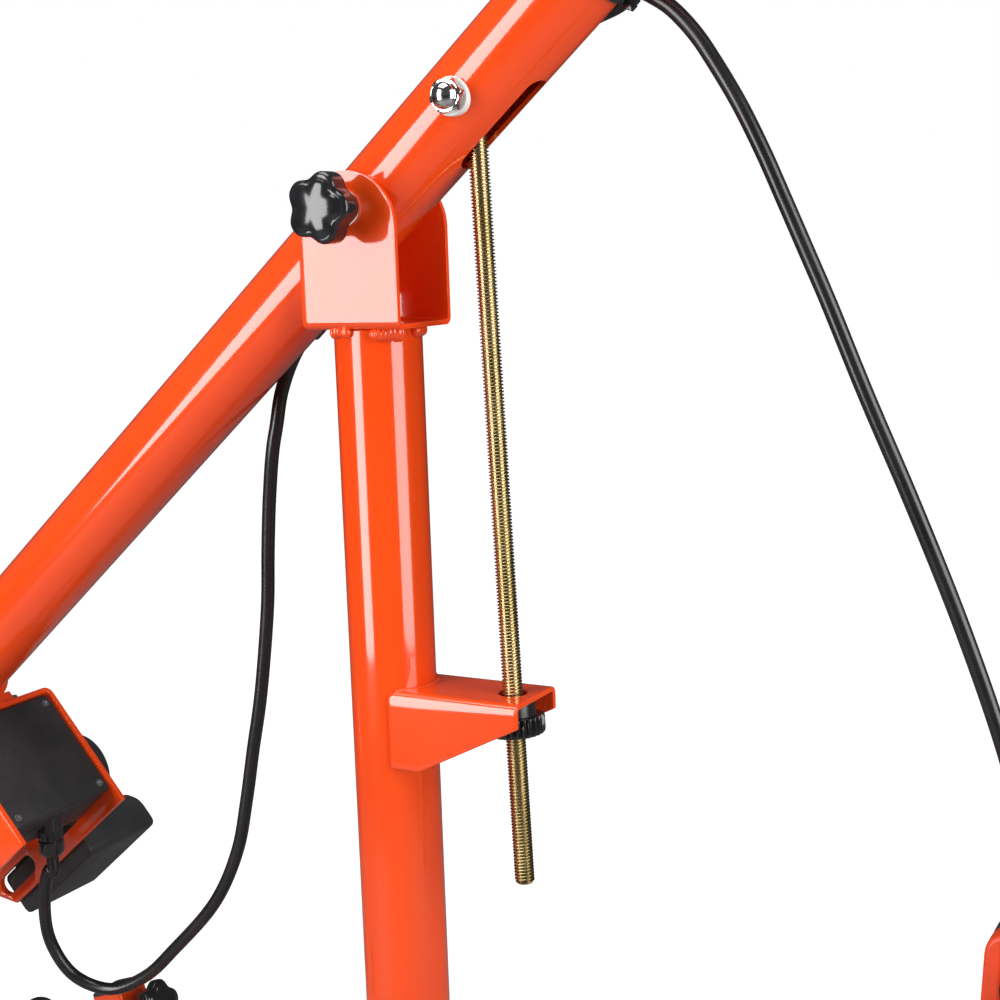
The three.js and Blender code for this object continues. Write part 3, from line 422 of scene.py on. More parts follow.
def swept(path, radius, sides=16, capped=True):
    # round section along points; radius may be a function of (step, angle)
    path = [Vector(p) for p in path]
    points, faces = [], []
    side = None
    for i, here in enumerate(path):
        along = (path[min(i + 1, len(path) - 1)] - path[max(i - 1, 0)]).normalized()
        if side is None:
            side = along.orthogonal().normalized()
        side = (side - along * side.dot(along)).normalized()
        other = along.cross(side)
        for k in range(sides):
            angle = 2 * math.pi * k / sides
            r = radius(i, angle) if callable(radius) else radius
            points.append(here + side * (r * math.cos(angle)) + other * (r * math.sin(angle)))
    for i in range(len(path) - 1):
        for k in range(sides):
            n = (k + 1) % sides
            faces.append([i * sides + k, i * sides + n, (i + 1) * sides + n, (i + 1) * sides + k])
    if capped:
        faces.append(list(range(sides))[::-1])
        faces.append([len(points) - sides + k for k in range(sides)])
    return points, faces


def smoothLine(points, steps=10):
    # centripetal curve through the points, the same one as the solid model's cables
    spots = [Vector(p) for p in points]
    ends = [2 * spots[0] - spots[1], *spots, 2 * spots[-1] - spots[-2]]
    line = []
    for i in range(len(spots) - 1):
        p0, p1, p2, p3 = ends[i : i + 4]
        d0, d1, d2 = ((b - a).length ** 0.5 for a, b in ((p0, p1), (p1, p2), (p2, p3)))
        t1 = ((p1 - p0) / d0 - (p2 - p0) / (d0 + d1) + (p2 - p1) / d1) * d1
        t2 = ((p2 - p1) / d1 - (p3 - p1) / (d1 + d2) + (p3 - p2) / d2) * d1
        for k in range(steps):
            t = k / steps
            a, b = 2 * t**3 - 3 * t**2 + 1, t**3 - 2 * t**2 + t
            c, d = -2 * t**3 + 3 * t**2, t**3 - t**2
            line.append(p1 * a + t1 * b + p2 * c + t2 * d)
    line.append(spots[-1])
    return line


def lengthOf(line):
    return sum((b - a).length for a, b in zip(line, line[1:]))


def piece(name, shape, finish, body, standsFor=(), place=worldFrame, crease=38, blended=None):
    mesh = bpy.data.meshes.new(name)
    points, faces = moved(shape, place)
    mesh.from_pydata([tuple(p * unit) for p in points], [], faces)
    form = bmesh.new()
    form.from_mesh(mesh)
    bmesh.ops.remove_doubles(form, verts=form.verts, dist=1e-6)
    bmesh.ops.dissolve_degenerate(form, edges=form.edges, dist=1e-7)
    bmesh.ops.recalc_face_normals(form, faces=form.faces)
    form.to_mesh(mesh)
    form.free()
    mesh.shade_smooth()
    mesh.set_sharp_from_angle(angle=math.radians(crease))
    thing = bpy.data.objects.new(name, mesh)
    scene.collection.objects.link(thing)
    mesh.materials.append(paint[finish])
    if blended:
        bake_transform(thing)
    else:
        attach(thing, body)
    if standsFor:
        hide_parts(*([standsFor] if isinstance(standsFor, str) else standsFor))
    return thing


def cutAway(thing, shape, place=worldFrame):
    # takes a shape out of a piece, for slots and holes
    mesh = bpy.data.meshes.new("cutter")
    points, faces = moved(shape, place)
    mesh.from_pydata([tuple(p * unit) for p in points], [], faces)
    form = bmesh.new()
    form.from_mesh(mesh)
    bmesh.ops.recalc_face_normals(form, faces=form.faces)
    form.to_mesh(mesh)
    form.free()
    cutter = bpy.data.objects.new("cutter", mesh)
    scene.collection.objects.link(cutter)
    cut = thing.modifiers.new("cut", "BOOLEAN")
    cut.operation = "DIFFERENCE"
    cut.solver = "EXACT"
    cut.object = cutter
    cut.use_self = True  # a piece may be several shapes run into each other
    bpy.context.view_layer.update()
    made = bpy.data.meshes.new_from_object(thing.evaluated_get(bpy.context.evaluated_depsgraph_get()))
    thing.modifiers.remove(cut)
    thing.data = made
    bpy.data.objects.remove(cutter)
    return thing


def trueRound(thing, origin, axis):
    # exact shading for a round tube that has been cut
    mesh = thing.data
    origin, axis = Vector(origin) * unit, Vector(axis).normalized()
    normals = []
    for side in mesh.polygons:
        for corner in side.loop_indices:
            p = mesh.vertices[mesh.loops[corner].vertex_index].co - origin
            out = (p - axis * p.dot(axis)).normalized()
            facing = out.dot(side.normal)
            normals.append(out * math.copysign(1, facing) if abs(facing) > 0.9 else side.normal)
    mesh.normals_split_custom_set(normals)
    return thing


def thickened(thing, depth, offset, round=0.5):
    # gives a sheet its thickness and rounds its rim
    solid = thing.modifiers.new("thickness", "SOLIDIFY")
    solid.thickness = depth * unit
    solid.offset = offset
    solid.use_even_offset = True
    rim = thing.modifiers.new("rim", "BEVEL")
    rim.width = round * unit
    rim.segments = 3
    rim.limit_method = "ANGLE"
    rim.angle_limit = math.radians(55)
    bpy.context.view_layer.update()
    made = bpy.data.meshes.new_from_object(thing.evaluated_get(bpy.context.evaluated_depsgraph_get()))
    thing.modifiers.clear()
    thing.data = made
    made.shade_smooth()
    made.set_sharp_from_angle(angle=math.radians(38))
    return thing


# ---- cables ----
cable = {"radius": 4.3, "clip": (-92, 29, -9.7), "clipLong": 12.0, "tie": (183, 22.8, -20), "tieHalf": 2.4}
pendantHinge = Vector((183, 21.8, 88.2))
glandSeat = boomToPin((-483, 0, -121.3))
glandLow = glandSeat.z - 22
heldRoute = [
    (-86, 29, -9.6), (-74, 31.5, -3), (-60, 34.2, 4), (-40, 34.2, 12), (-20, 34.2, 17), (0, 34.2, 18.5), (20, 34.2, 18.5),
    (45, 34.2, 17), (65, 31, 15), (80, 28, 13.6), (100, 28, 13.2), (120, 29.8, 6.5), (140, 30.1, -3), (160, 28.4, -11),
    (174, 24.5, -18), (178, 23.4, -19.3), cable["tie"],
]
bendRoute = [(160.5, 22.2, 105.2), (166.4, 22, 102), (174.2, 22, 96.7), tuple(pendantHinge)]
loopRoute = [
    (-72.5, 28.6, -75.5), (-82, 27, -90.5), (-89.3, 25.3, -109), (-93.5, 24.3, -128.7), (-97.4, 24.3, -144),
    (-104.9, 28, -176), (-110.5, 31, -210), (-114.5, 33, -243), (-120, 34, -277), (-126, 34, -311), (-134, 34, -345),
    (-142, 34, -381), (-152, 34, -417), (-173, 34, -456), (-211, 33, -497), (-238, 30, -522), (-266, 24, -534),
    (-291, 16, -525), (-303, 8, -498), (-299, 2, -462), (-290, 0, -440),
]
dropRoute = [
    (190.6, 21.4, 79.2), (197, 21, 70), (212, 20, 46), (225, 20, 20.5), (236.5, 20, -5), (248, 20, -31), (259, 20, -56),
    (279, 21, -105), (302, 24, -160), (326, 28, -222), (347, 32, -285), (360, 34, -335),
]
pendantSpot = Vector((364, 34, -380))


def towards(start, end, distance):
    start, end = Vector(start), Vector(end)
    return start + (end - start).normalized() * distance


def freeCable(name, line, body, node):
    curve = bpy.data.curves.new(name, "CURVE")
    curve.dimensions = "3D"
    spline = curve.splines.new("POLY")
    spline.points.add(len(line) - 1)
    for spot, p in zip(spline.points, line):
        spot.co = (*((pinFrame @ p) * unit), 1)
    curve.bevel_depth = cable["radius"] * unit
    curve.bevel_resolution = 7
    curve.use_fill_caps = True
    spline.use_smooth = True
    thing = bpy.data.objects.new(name, curve)
    scene.collection.objects.link(thing)
    curve.materials.append(paint["cableSheath"])
    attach(thing, body)
    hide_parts(node)
    return thing


clipX, clipY, clipZ = cable["clip"]
tieX, tieY, tieZ = cable["tie"]
heldStart = (clipX - cable["clipLong"] / 2, clipY, clipZ)
alongArm = boomToPin((heldStart[0] - 4, clipY, clipZ))
loopEnd = Vector((glandSeat.x, 0, glandLow - 0.6))
loopLine = smoothLine([towards(boomToPin(heldStart), alongArm, 0.3), *loopRoute, loopEnd - Vector((0, 0, 12)), loopEnd])
hoistCable = freeCable("hoistCable", loopLine, "boom", "cable_loop")

heldLine = smoothLine([heldStart, cable["clip"], *heldRoute])
piece("heldCable", swept(heldLine, cable["radius"], 24), "cableSheath", "boom", "cable_run", boomFrame)

# the pendant's cable leaves the tie, curves through the hinge, and runs on into the handset
dropEnd = pendantSpot - Vector((0, 0, 6))
dropLine = smoothLine([
    boomToPin(cable["tie"]), boomToPin((186.5, 22.7, -20.5)), *bendRoute, *dropRoute, dropEnd + Vector((0, 0, 36)), dropEnd,
])
dropPath = [(pinFrame @ p) * unit for p in dropLine]
bendLong = 0.009  # from the hinge to each end of the bend
beforeHinge = [p for p in dropPath[:60] if (p - (pinFrame @ pendantHinge) * unit).length < bendLong]
pendantCable = piece(
    "pendantCable", swept(dropLine, cable["radius"], 24), "cableSheath", "boom", "cable_drop", pinFrame, 60,
    ("pendant", beforeHinge[0], beforeHinge[-1]),
)
print("cable lengths", round(lengthOf(loopLine), 1), round(lengthOf(heldLine), 1), round(lengthOf(dropLine), 1))


def cableClip():
    half, inner = cable["clipLong"] / 2, cable["radius"] + 0.3
    ring = filleted([(inner, -half), (inner + 2.4, -half), (inner + 2.4, half), (inner, half)], 0.7)
    clip = lathe([*ring, ring[0]], cable["clip"], (1, 0, 0), 40)
    low = clipZ + inner + 1.5
    rib = softened(box(clipX - half, clipX + half, 26, 29, low, low + 8), 0.5)
    return joined(clip, rib)


def cableTie():
    # flat ribbed strap round the tail and the cable, with its locking head and cut end
    inner, band, wide = crane["tubeRadius"] + 0.3, 1.3, cable["tieHalf"]
    turns = 160
    points, faces = [], []
    for k in range(turns):
        angle = 2 * math.pi * k / turns
        tooth = 0.12 * (1 if (k // 2) % 2 else 0)
        for r, x in ((inner, -wide), (inner + band + tooth, -wide), (inner + band + tooth, wide), (inner, wide)):
            points.append((tieX + x, r * math.cos(angle), r * math.sin(angle)))
    for k in range(turns):
        n = (k + 1) % turns
        for j in range(4):
            faces.append([4 * k + j, 4 * k + (j + 1) % 4, 4 * n + (j + 1) % 4, 4 * n + j])
    hold = cable["radius"] + 0.3
    ring = filleted([(hold, -wide), (hold + 1.3, -wide), (hold + 1.3, wide), (hold, wide)], 0.3)
    loop = lathe([*ring, ring[0]], cable["tie"], (1, 0, 0), 36)
    head = softened(box(tieX - 3.6, tieX + 3.6, 12.6, 18.8, -28.6, -24.0), 0.6)
    tail = softened(box(tieX - 1.9, tieX + 1.9, 9.6, 13.2, -31.4, -25.6), 0.3)
    return joined((points, faces), loop, head, tail)


piece("cableClip", cableClip(), "blackSatin", "boom", "cable_clip", boomFrame)
piece("cableTie", cableTie(), "blackGloss", "boom", "cable_tie", boomFrame)


# ---- tubes ----
def roundTube(radius, wall, start, end, sides=128, rings=12):
    profile = []
    edge = 0.5
    for i in range(rings + 1):
        h = start + (end - start) * i / rings
        profile.append((radius, h))
    profile[0], profile[-1] = (radius - edge, start), (radius - edge, end)
    profile.insert(1, (radius, start + edge))
    profile.insert(-1, (radius, end - edge))
    inner = radius - wall
    profile += [(inner + edge, end), (inner, end - edge)]
    profile += [(inner, end - (end - start) * i / rings) for i in range(1, rings)]
    profile += [(inner, start + edge), (inner + edge, start)]
    profile.append(profile[0])
    return profile, sides


boomTube = {"load": -700.0, "tail": 400.0, "wall": 2.5, "slot": (58.5, 125.0), "slotWide": 15.0}
profile, sides = roundTube(crane["tubeRadius"], boomTube["wall"], boomTube["load"], boomTube["tail"], rings=44)
boom = piece("boomTube", lathe(profile, (0, 0, 0), (1, 0, 0), sides), "orangePaint", "boom", "boom_tube", boomFrame)
slotRound = boomTube["slotWide"] / 2
slotShape = slab(
    [stadium(boomTube["slot"][0] + slotRound, boomTube["slot"][1] - slotRound, 0, slotRound, 16)], -crane["tubeRadius"] - 3, -15, "xy"
)
cutAway(boom, slotShape, boomFrame)
trueRound(boom, (0, 0, crane["pinHeight"]), boomFrame.to_3x3() @ Vector((1, 0, 0)))

mastTube = {"low": 80.6, "high": 942.5, "wall": 2.6}
profile, sides = roundTube(crane["tubeRadius"], mastTube["wall"], mastTube["low"], mastTube["high"], rings=30)
piece("mastTube", lathe(profile, (0, 0, 0), (0, 0, 1), sides), "orangePaint", "mast", "mast_tube")


def endPlug(radius, depth, face):
    # ribbed plastic insert that closes a tube, flush with its end
    ribs = [(radius - 0.6 - 0.5 * (k % 2), -depth + 2 * k) for k in range(int(depth / 2) - 1)]
    dish = [(radius, -3), (radius, -1), (radius - 1, face), (radius * 0.55, face - 0.8), (radius * 0.5, face - 1.6), (0, face - 1.8)]
    return [(0, -depth), *ribs, *dish]


plugRadius = crane["tubeRadius"] - boomTube["wall"] - 0.1
piece("tailPlug", lathe(endPlug(plugRadius, 16, -0.2), (boomTube["tail"], 0, 0), (1, 0, 0), 64), "blackSatin", "boom", (), boomFrame)
piece("tipPlug", lathe(endPlug(plugRadius, 16, -0.2), (boomTube["load"], 0, 0), (-1, 0, 0), 64), "blackSatin", "boom", (), boomFrame)
print("tubes built")


# ---- clevis and its weld ----
clevis = {"half": 31.9, "top": 20.6, "depth": 67.2, "plate": 3.0, "inner": 25.8, "bend": 5.0, "columns": 16}


def clevisSheet():
    mid = clevis["inner"] + clevis["plate"] / 2
    low = -clevis["depth"] + clevis["plate"] / 2
    bend = clevis["bend"] - clevis["plate"] / 2
    shoulder = clevis["top"] - clevis["half"]
    ear = []  # from the tip of an ear down to the bend: (half width, height)
    for k in range(15):
        tilt = math.radians(84 * (1 - k / 14))
        ear.append((clevis["half"] * math.cos(tilt), shoulder + clevis["half"] * math.sin(tilt)))
    straight = 8
    for k in range(1, straight + 1):
        ear.append((clevis["half"], shoulder + (low + bend - shoulder) * k / straight))
    line = [(-mid, z, w) for w, z in ear]
    for k in range(1, 6):
        a = math.radians(180 + 90 * k / 6)
        line.append((-mid + bend + bend * math.cos(a), low + bend + bend * math.sin(a), clevis["half"]))
    for k in range(9):
        line.append(((-mid + bend) * (1 - k / 4), low, clevis["half"]))
    line += [(-y, z, w) for y, z, w in line[: len(line) - 9][::-1]]
    wide = clevis["columns"]
    return sheetOf([[((2 * k / wide - 1) * w, y, z) for k in range(wide + 1)] for y, z, w in line])


thickened(piece("clevis", clevisSheet(), "orangePaint", "mast", "clevis", pinFrame, 30), clevis["plate"], 0, 0.7)


def weldBead(path, size, seed, ripple=2.3, lump=0.35):
    # overlapping run of molten beads along a joint, with blunt ends
    path = [Vector(p) for p in path]
    total = lengthOf(path)
    count = max(12, int(total / 0.45))
    spots, at, travelled, i = [], 0.0, 0.0, 0
    for k in range(count + 1):
        want = total * k / count
        while i < len(path) - 2 and travelled + (path[i + 1] - path[i]).length < want:
            travelled += (path[i + 1] - path[i]).length
            i += 1
        step = (path[i + 1] - path[i])
        spots.append(path[i] + step * min(1, (want - travelled) / max(step.length, 1e-6)))

    def radius(k, angle):
        at = total * k / count
        scale = 0.86 + 0.14 * abs(math.sin(math.pi * at / ripple + 0.25 * math.cos(angle))) ** 0.7
        wander = noise.noise(Vector((at * 0.16, seed, 0.4 * math.cos(angle)))) * lump
        end = min(1.0, math.sqrt(max(0.0, min(at, total - at)) / size) + 0.12)
        return size * (scale + wander) * end

    return swept(spots, radius, 18)


def arcPath(radius, height, start, end, steps=60):
    spots = []
    for k in range(steps + 1):
        a = math.radians(start + (end - start) * k / steps)
        spots.append((radius * math.cos(a), radius * math.sin(a), height))
    return spots


neck = -clevis["depth"]
neckWelds = joined(
    weldBead(arcPath(26.6, neck - 1.6, -128, -92), 3.8, 3.1, lump=0.5),
    weldBead(arcPath(26.9, neck - 2.2, -68, -22), 4.8, 8.3, lump=0.5),
    weldBead(arcPath(26.6, neck - 1.6, -11, 18), 3.4, 5.7, lump=0.5),
    weldBead(arcPath(26.8, neck - 1.5, 74, 168), 3.6, 12.9, lump=0.5),
)
piece("neckWeld", neckWelds, "orangePaint", "mast", (), pinFrame, 75)
print("clevis built")

# ---- pivot: bolt, washers, cap, star knob ----
pivot = {"washer": 10.0, "washerThick": 2.2, "face": 28.8, "gap": 0.3, "cap": 12.0, "capLong": 13.0}
starKnob = {"radius": 20.0, "thick": 17.0, "stem": 11.6, "stemRadius": 8.0}


def knobShape(radius, thick, stem, stemRadius, dip=0.18, dome=3.2, lobes=5):
    # moulded star knob along +Z: stem, lobed head with round shoulders, gently domed face
    def lobe(angle):
        return radius * (1 - dip * (0.5 - 0.5 * math.cos(lobes * angle)) ** 1.4)

    def inset(amount):
        return lambda angle: lobe(angle) - amount

    shoulder = 3.4
    profile = [(0, 0), (stemRadius - 0.8, 0), (stemRadius, 0.8), (stemRadius, stem - 0.6), (stemRadius + 0.6, stem)]
    profile += [(inset(radius * 0.34), stem)]
    for k in range(5):
        a = math.pi / 2 * k / 4
        profile.append((inset(2.0 * (1 - math.sin(a))), stem + 2.0 * (1 - math.cos(a))))
    top = stem + thick - dome
    for k in range(7):
        a = math.pi / 2 * k / 6
        profile.append((inset(shoulder * (1 - math.cos(a))), top - shoulder * 0.75 * (1 - math.sin(a))))
    for k in range(1, 9):
        share = k / 9
        reach = (radius - shoulder) * (1 - share)
        keep = (1 - share) ** 1.5

        def ring(angle, reach=reach, keep=keep):
            return reach * (1 - keep) * 0.86 + keep * (lobe(angle) - shoulder) * 0.97

        profile.append((ring, top + dome * (1 - (1 - share) ** 2)))
    profile.append((0, stem + thick))
    return profile


def knobAt(name, body, node, place, direction, settings, turn=0.0, more=(), frameOf=worldFrame, finish="blackGloss"):
    shape = lathe(knobShape(**settings), place, direction, 120, turn)
    return piece(name, joined(shape, *more), finish, body, node, frameOf, 50)


knobBase = -(pivot["face"] + pivot["gap"] + pivot["washerThick"] + pivot["gap"])
knobAt("starKnob", "star_knob", "star_knob", (0, knobBase, 0), (0, -1, 0), starKnob, math.radians(-87), frameOf=pinFrame)


def washer(outer, hole, thick, edge=0.5):
    ring = filleted([(hole, 0), (outer, 0), (outer, thick), (hole, thick)], edge, closed=True)
    return [*ring, ring[0]]


piece(
    "pivotWasher", lathe(washer(pivot["washer"], 6.3, pivot["washerThick"]), (0, -pivot["face"] - pivot["gap"], 0), (0, -1, 0), 72),
    "whiteNylon", "mast", "pivot_washer_front", pinFrame,
)
capEdge = filleted([(0, 0), (12, 0), (12, 13), (0, 13)], 3.6, 6)
capStart = pivot["face"] + pivot["gap"] + 2.2 + 0.3
piece("pivotCap", lathe(capEdge, (0, capStart, 0), (0, 1, 0), 64), "blackGloss", "mast", "pivot_cap", pinFrame)
boltShape = joined(
    lathe([(0, -49.8), (5.2, -49.8), (6, -49), (6, 29.1), (12, 29.1), (12, 31.3), (0, 31.3)], (0, 0, 0), (0, 1, 0), 48)
)
piece("pivotBolt", boltShape, "brightZinc", "mast", "pivot_bolt", pinFrame)

# ---- cross bolt: dome nuts and nylon washers ----
cross = {"along": 88.7, "drop": 3.0, "washer": 10.4, "washerThick": 1.8, "across": 17.4, "height": 5.4}
nutFace = crane["tubeRadius"] + 0.3 + cross["washerThick"] + 0.3


def hexRadius(across, trim=0.0):
    def radius(angle):
        wedge = (math.degrees(angle) + 30) % 60 - 30
        return min(across / 2 / math.cos(math.radians(wedge)), across / 2 / math.cos(math.radians(30)) - trim)

    return radius


def hexHead(across, height, start=0.0):
    full = across / 2 / math.cos(math.radians(30))
    rings = [(0, start), (across / 2 - 0.6, start), (hexRadius(across, 0.55), start + 0.35), (hexRadius(across, 0), start + 0.8)]
    rings += [(hexRadius(across, 0), start + height - 1.0), (hexRadius(across, 0.7), start + height - 0.45)]
    rings += [(min(full - 1.6, across / 2 - 0.1), start + height)]
    return rings


def domeNut():
    rings = hexHead(cross["across"], cross["height"])
    dome = []
    for k in range(9):
        a = math.pi / 2 * k / 8
        dome.append((7.1 * math.cos(a) if k < 8 else 0, cross["height"] + 0.2 + 5.3 * math.sin(a)))
    return [*rings, (7.5, cross["height"] + 0.05), *dome]


nutTurn = math.radians(11)
for side, nodes in ((-1, ("dome_nut",)), (1, ("cross_bolt",))):
    nut = lathe(domeNut(), (cross["along"], side * nutFace, -cross["drop"]), (0, side, 0), 120, nutTurn)
    shank = lathe([(0, 0), (6, 0), (6, nutFace + 1), (0, nutFace + 1)], (cross["along"], 0, -cross["drop"]), (0, side, 0), 40)
    piece("domeNutNear" if side < 0 else "domeNutFar", joined(nut, shank), "stainless", "boom", nodes, boomFrame, 26)

    def saddle(p, side=side):  # inner face follows the tube
        depth = math.sqrt(max(0.0, 25.6**2 - p.z**2))
        return (p.x, side * max(abs(p.y) if abs(p.y) > 26.4 else depth, depth), p.z)

    ringShape = lathe(washer(cross["washer"], 6.3, 1.8, 0.45), (cross["along"], side * 25.7, -cross["drop"]), (0, side, 0), 72)
    piece(
        "crossWasherNear" if side < 0 else "crossWasherFar", reshaped(ringShape, saddle), "whiteNylon", "boom",
        ("cross_washer",) if side < 0 else (), boomFrame,
    )
print("pivot and cross bolt built")

# ---- luffing screw ----
screw = {"radius": 5.85, "root": 4.65, "pitch": 1.9, "topX": 69.1, "lowX": 80.2, "bracket": 275.6, "low": 388.3, "around": 26}
boltX = cross["along"] * math.cos(boomTilt) + cross["drop"] * math.sin(boomTilt)
boltZ = cross["along"] * math.sin(boomTilt) - cross["drop"] * math.cos(boomTilt)
rodAxis = Vector((screw["lowX"] - screw["topX"], 0, -(boltZ + screw["bracket"]))).normalized()


def onRod(z):
    return Vector((screw["topX"] + (z - boltZ) / rodAxis.z * rodAxis.x, 0, z))


def threadShape(radius, root, pitch, length, around, chamfer=1.3):
    # helical thread: crest, flank, root, flank, wound as one strip and trimmed square at both ends
    section = [(0.0, root), (0.14, root), (0.42, radius - 0.06), (0.50, radius), (0.58, radius - 0.06), (0.86, root)]
    turns = int(length / pitch) + 2
    points, faces = [], []
    steps = turns * around
    for i in range(steps + 1):
        angle = 2 * math.pi * i / around
        for share, r in section:
            z = pitch * (i / around + share - 1.0)
            z = min(max(z, 0.0), length)
            r = min(r, radius - chamfer + min(z, length - z) * 0.9)
            points.append(Vector((r * math.cos(angle), r * math.sin(angle), z)))
    count = len(section)
    for i in range(steps):
        for k in range(count):
            a, b = i * count + k, (i + 1) * count + k
            if k < count - 1:
                faces.append([a, b, b + 1, a + 1])
            elif i + around < steps:
                c, d = (i + around) * count, (i + 1 + around) * count
                faces.append([a, b, d, c])
    return points, faces


def endDisc(radius, height, around):
    return lathe([(0, height), (radius, height)], sides=around)


def threadedRod(start, axis, settings, length):
    core = threadShape(settings["radius"], settings["root"], settings["pitch"], length, settings["around"])
    ends = joined(endDisc(settings["radius"] - 1.3, 0, settings["around"]), endDisc(settings["radius"] - 1.3, length, settings["around"]))
    turn = Vector((0, 0, 1)).rotation_difference(Vector(axis)).to_matrix().to_4x4()
    return moved(joined(core, ends), Matrix.Translation(start) @ turn)


rodStart = onRod(boltZ - 15)
rodLength = (boltZ - 15 + screw["low"]) / -rodAxis.z
piece("luffRod", threadedRod(rodStart, rodAxis, screw, rodLength), "yellowZinc", "luff_rod", "luff_rod", pinFrame, 50)

handWheel = {"radius": 17.6, "thick": 11.0, "collar": 12.7, "collarHigh": 8.5, "flutes": 28, "flute": 2.0}
wheelTop = onRod(-screw["bracket"] - 3 - 0.4 - handWheel["collar"] * rodAxis.x)


def fluted(inset):
    def radius(angle):
        wave = abs(math.cos(handWheel["flutes"] * angle / 2)) ** 1.6
        return handWheel["radius"] - inset - handWheel["flute"] * wave * max(0, 1 - inset / 2.2)

    return radius


def handWheelProfile():
    bore, high, low = screw["radius"] + 0.4, handWheel["collarHigh"], handWheel["collarHigh"] + handWheel["thick"]
    rings = [(bore, 0.6), (bore + 0.6, 0), (handWheel["collar"] - 0.9, 0), (handWheel["collar"], 0.9), (handWheel["collar"], high - 0.5)]
    rings += [(handWheel["collar"] + 0.5, high), (fluted(2.4), high), (fluted(1.0), high + 0.35), (fluted(0.35), high + 0.9), (fluted(0), high + 1.8)]
    rings += [(fluted(0), low - 1.8), (fluted(0.35), low - 0.9), (fluted(1.0), low - 0.35), (fluted(2.4), low), (bore + 2.2, low), (bore, low - 1.2)]
    return [*rings, rings[0]]


piece("luffWheel", lathe(handWheelProfile(), wheelTop, rodAxis, handWheel["flutes"] * 10), "blackGloss", "luff_wheel", "luff_wheel", pinFrame, 40)

# ---- screw bracket and its welds ----
bracket = {"half": 24.6, "plate": 3.0, "start": 11.0, "reach": 95.3, "deep": 46.0, "deepTo": 30.0, "shallow": 13.5, "bend": 4.5, "hole": 8.4}


def bracketSheet():
    mid, bend = bracket["half"] - bracket["plate"] / 2, bracket["bend"] - bracket["plate"] / 2
    top = -screw["bracket"] - bracket["plate"] / 2
    rows = []
    columns = 34
    across = []  # (y, share of the flange below the bend or None, bend angle or None)
    for k in range(9):
        across.append(("flange", -1, 1 - k / 8))
    for k in range(1, 6):
        across.append(("bend", -1, math.pi / 2 * k / 5))
    for k in range(1, 12):
        across.append(("top", 0, -1 + 2 * k / 12))
    for k in range(5, 0, -1):
        across.append(("bend", 1, math.pi / 2 * k / 5))
    for k in range(9):
        across.append(("flange", 1, k / 8))
    for kind, side, share in across:
        row = []
        for c in range(columns + 1):
            if kind == "top":
                y = share * (mid - bend)
            elif kind == "bend":
                y = side * (mid - bend + bend * math.cos(share))
            else:
                y = side * mid
            clear = 25.5
            begin = max(bracket["start"], math.sqrt(max(0.0, clear**2 - y * y)))
            x = begin + (bracket["reach"] - 0.2 - begin) * c / columns
            deep = bracket["deep"]
            if x > bracket["deepTo"]:
                share2 = (x - bracket["deepTo"]) / (bracket["reach"] - bracket["deepTo"])
                deep += (bracket["shallow"] - bracket["deep"]) * share2
            if kind == "top":
                z = top
            elif kind == "bend":
                z = top - bend + bend * math.sin(share)
            else:
                z = top - bend - share * (deep - bracket["plate"] / 2 - bend)
            row.append((x, y, z))
        rows.append(row)
    return sheetOf(rows)


armBracket = thickened(piece("screwBracket", bracketSheet(), "orangePaint", "mast", "screw_bracket", pinFrame, 30), bracket["plate"], 0, 0.6)
holeShape = lathe([(0, -12), (bracket["hole"], -12), (bracket["hole"], 12), (0, 12)], (screw["lowX"], 0, -screw["bracket"]), (0, 0, 1), 64)
cutAway(armBracket, holeShape, pinFrame)
bracketTop = -screw["bracket"]
bracketWeld = weldBead(arcPath(26.0, bracketTop - 0.4, -56, 56), 1.5, 4.4, lump=0.5)
piece("bracketWeld", bracketWeld, "orangePaint", "mast", (), pinFrame, 75)
print("screw, wheel and bracket built")

# ---- hoist ----
hoist = {"back": -460.0, "front": -620.0, "top": -33.0, "plate": 4.0, "half": 50.0, "deep": 96.0, "drum": -565.0, "rope": -48.0}
drumDrop = hoist["rope"] - 22
under = hoist["top"] - hoist["plate"]


def hoistSheet():
    mid, bend = hoist["half"] - hoist["plate"] / 2, 4.0
    top, low = hoist["top"] - hoist["plate"] / 2, under - hoist["deep"]
    line = [(-mid, low + (top - bend - low) * k / 8) for k in range(9)]
    line += [(-mid + bend - bend * math.cos(a), top - bend + bend * math.sin(a)) for a in (math.pi / 2 * k / 5 for k in range(1, 6))]
    line += [((mid - bend) * (k / 4 - 1), top) for k in range(1, 4)]
    line += [(-y, z) for y, z in line[:-1][::-1]] if len(line) % 2 else [(-y, z) for y, z in line[::-1]]
    wide = 12
    return sheetOf([[(hoist["front"] + (hoist["back"] - hoist["front"]) * k / wide, y, z) for k in range(wide + 1)] for y, z in line])


hoistFrame = thickened(piece("hoistFrame", hoistSheet(), "orangePaint", "boom", "hoist_frame", boomFrame, 30), hoist["plate"], 0, 0.7)
windowShape = slab([stadium(-604, -574, -118, 7)], -60, 60, "xz")
sideHole = slab([stadium(-545, -512, -112, 9)], -60, 60, "xz")
cornerCut = slab([[(-625, -140), (-600, -140), (-625, -112)]], -60, 60, "xz")
cutAway(hoistFrame, joined(windowShape, sideHole, cornerCut), boomFrame)


def boltHead(across, height, place, axis):
    # hexagon head on a plain washer
    ring = lathe(washer(across * 0.62, 1, 1.4, 0.3), place, axis, 40)
    lift = Vector(place) + Vector(axis).normalized() * 1.4
    return joined(ring, lathe(hexHead(across, height), lift, axis, 60))


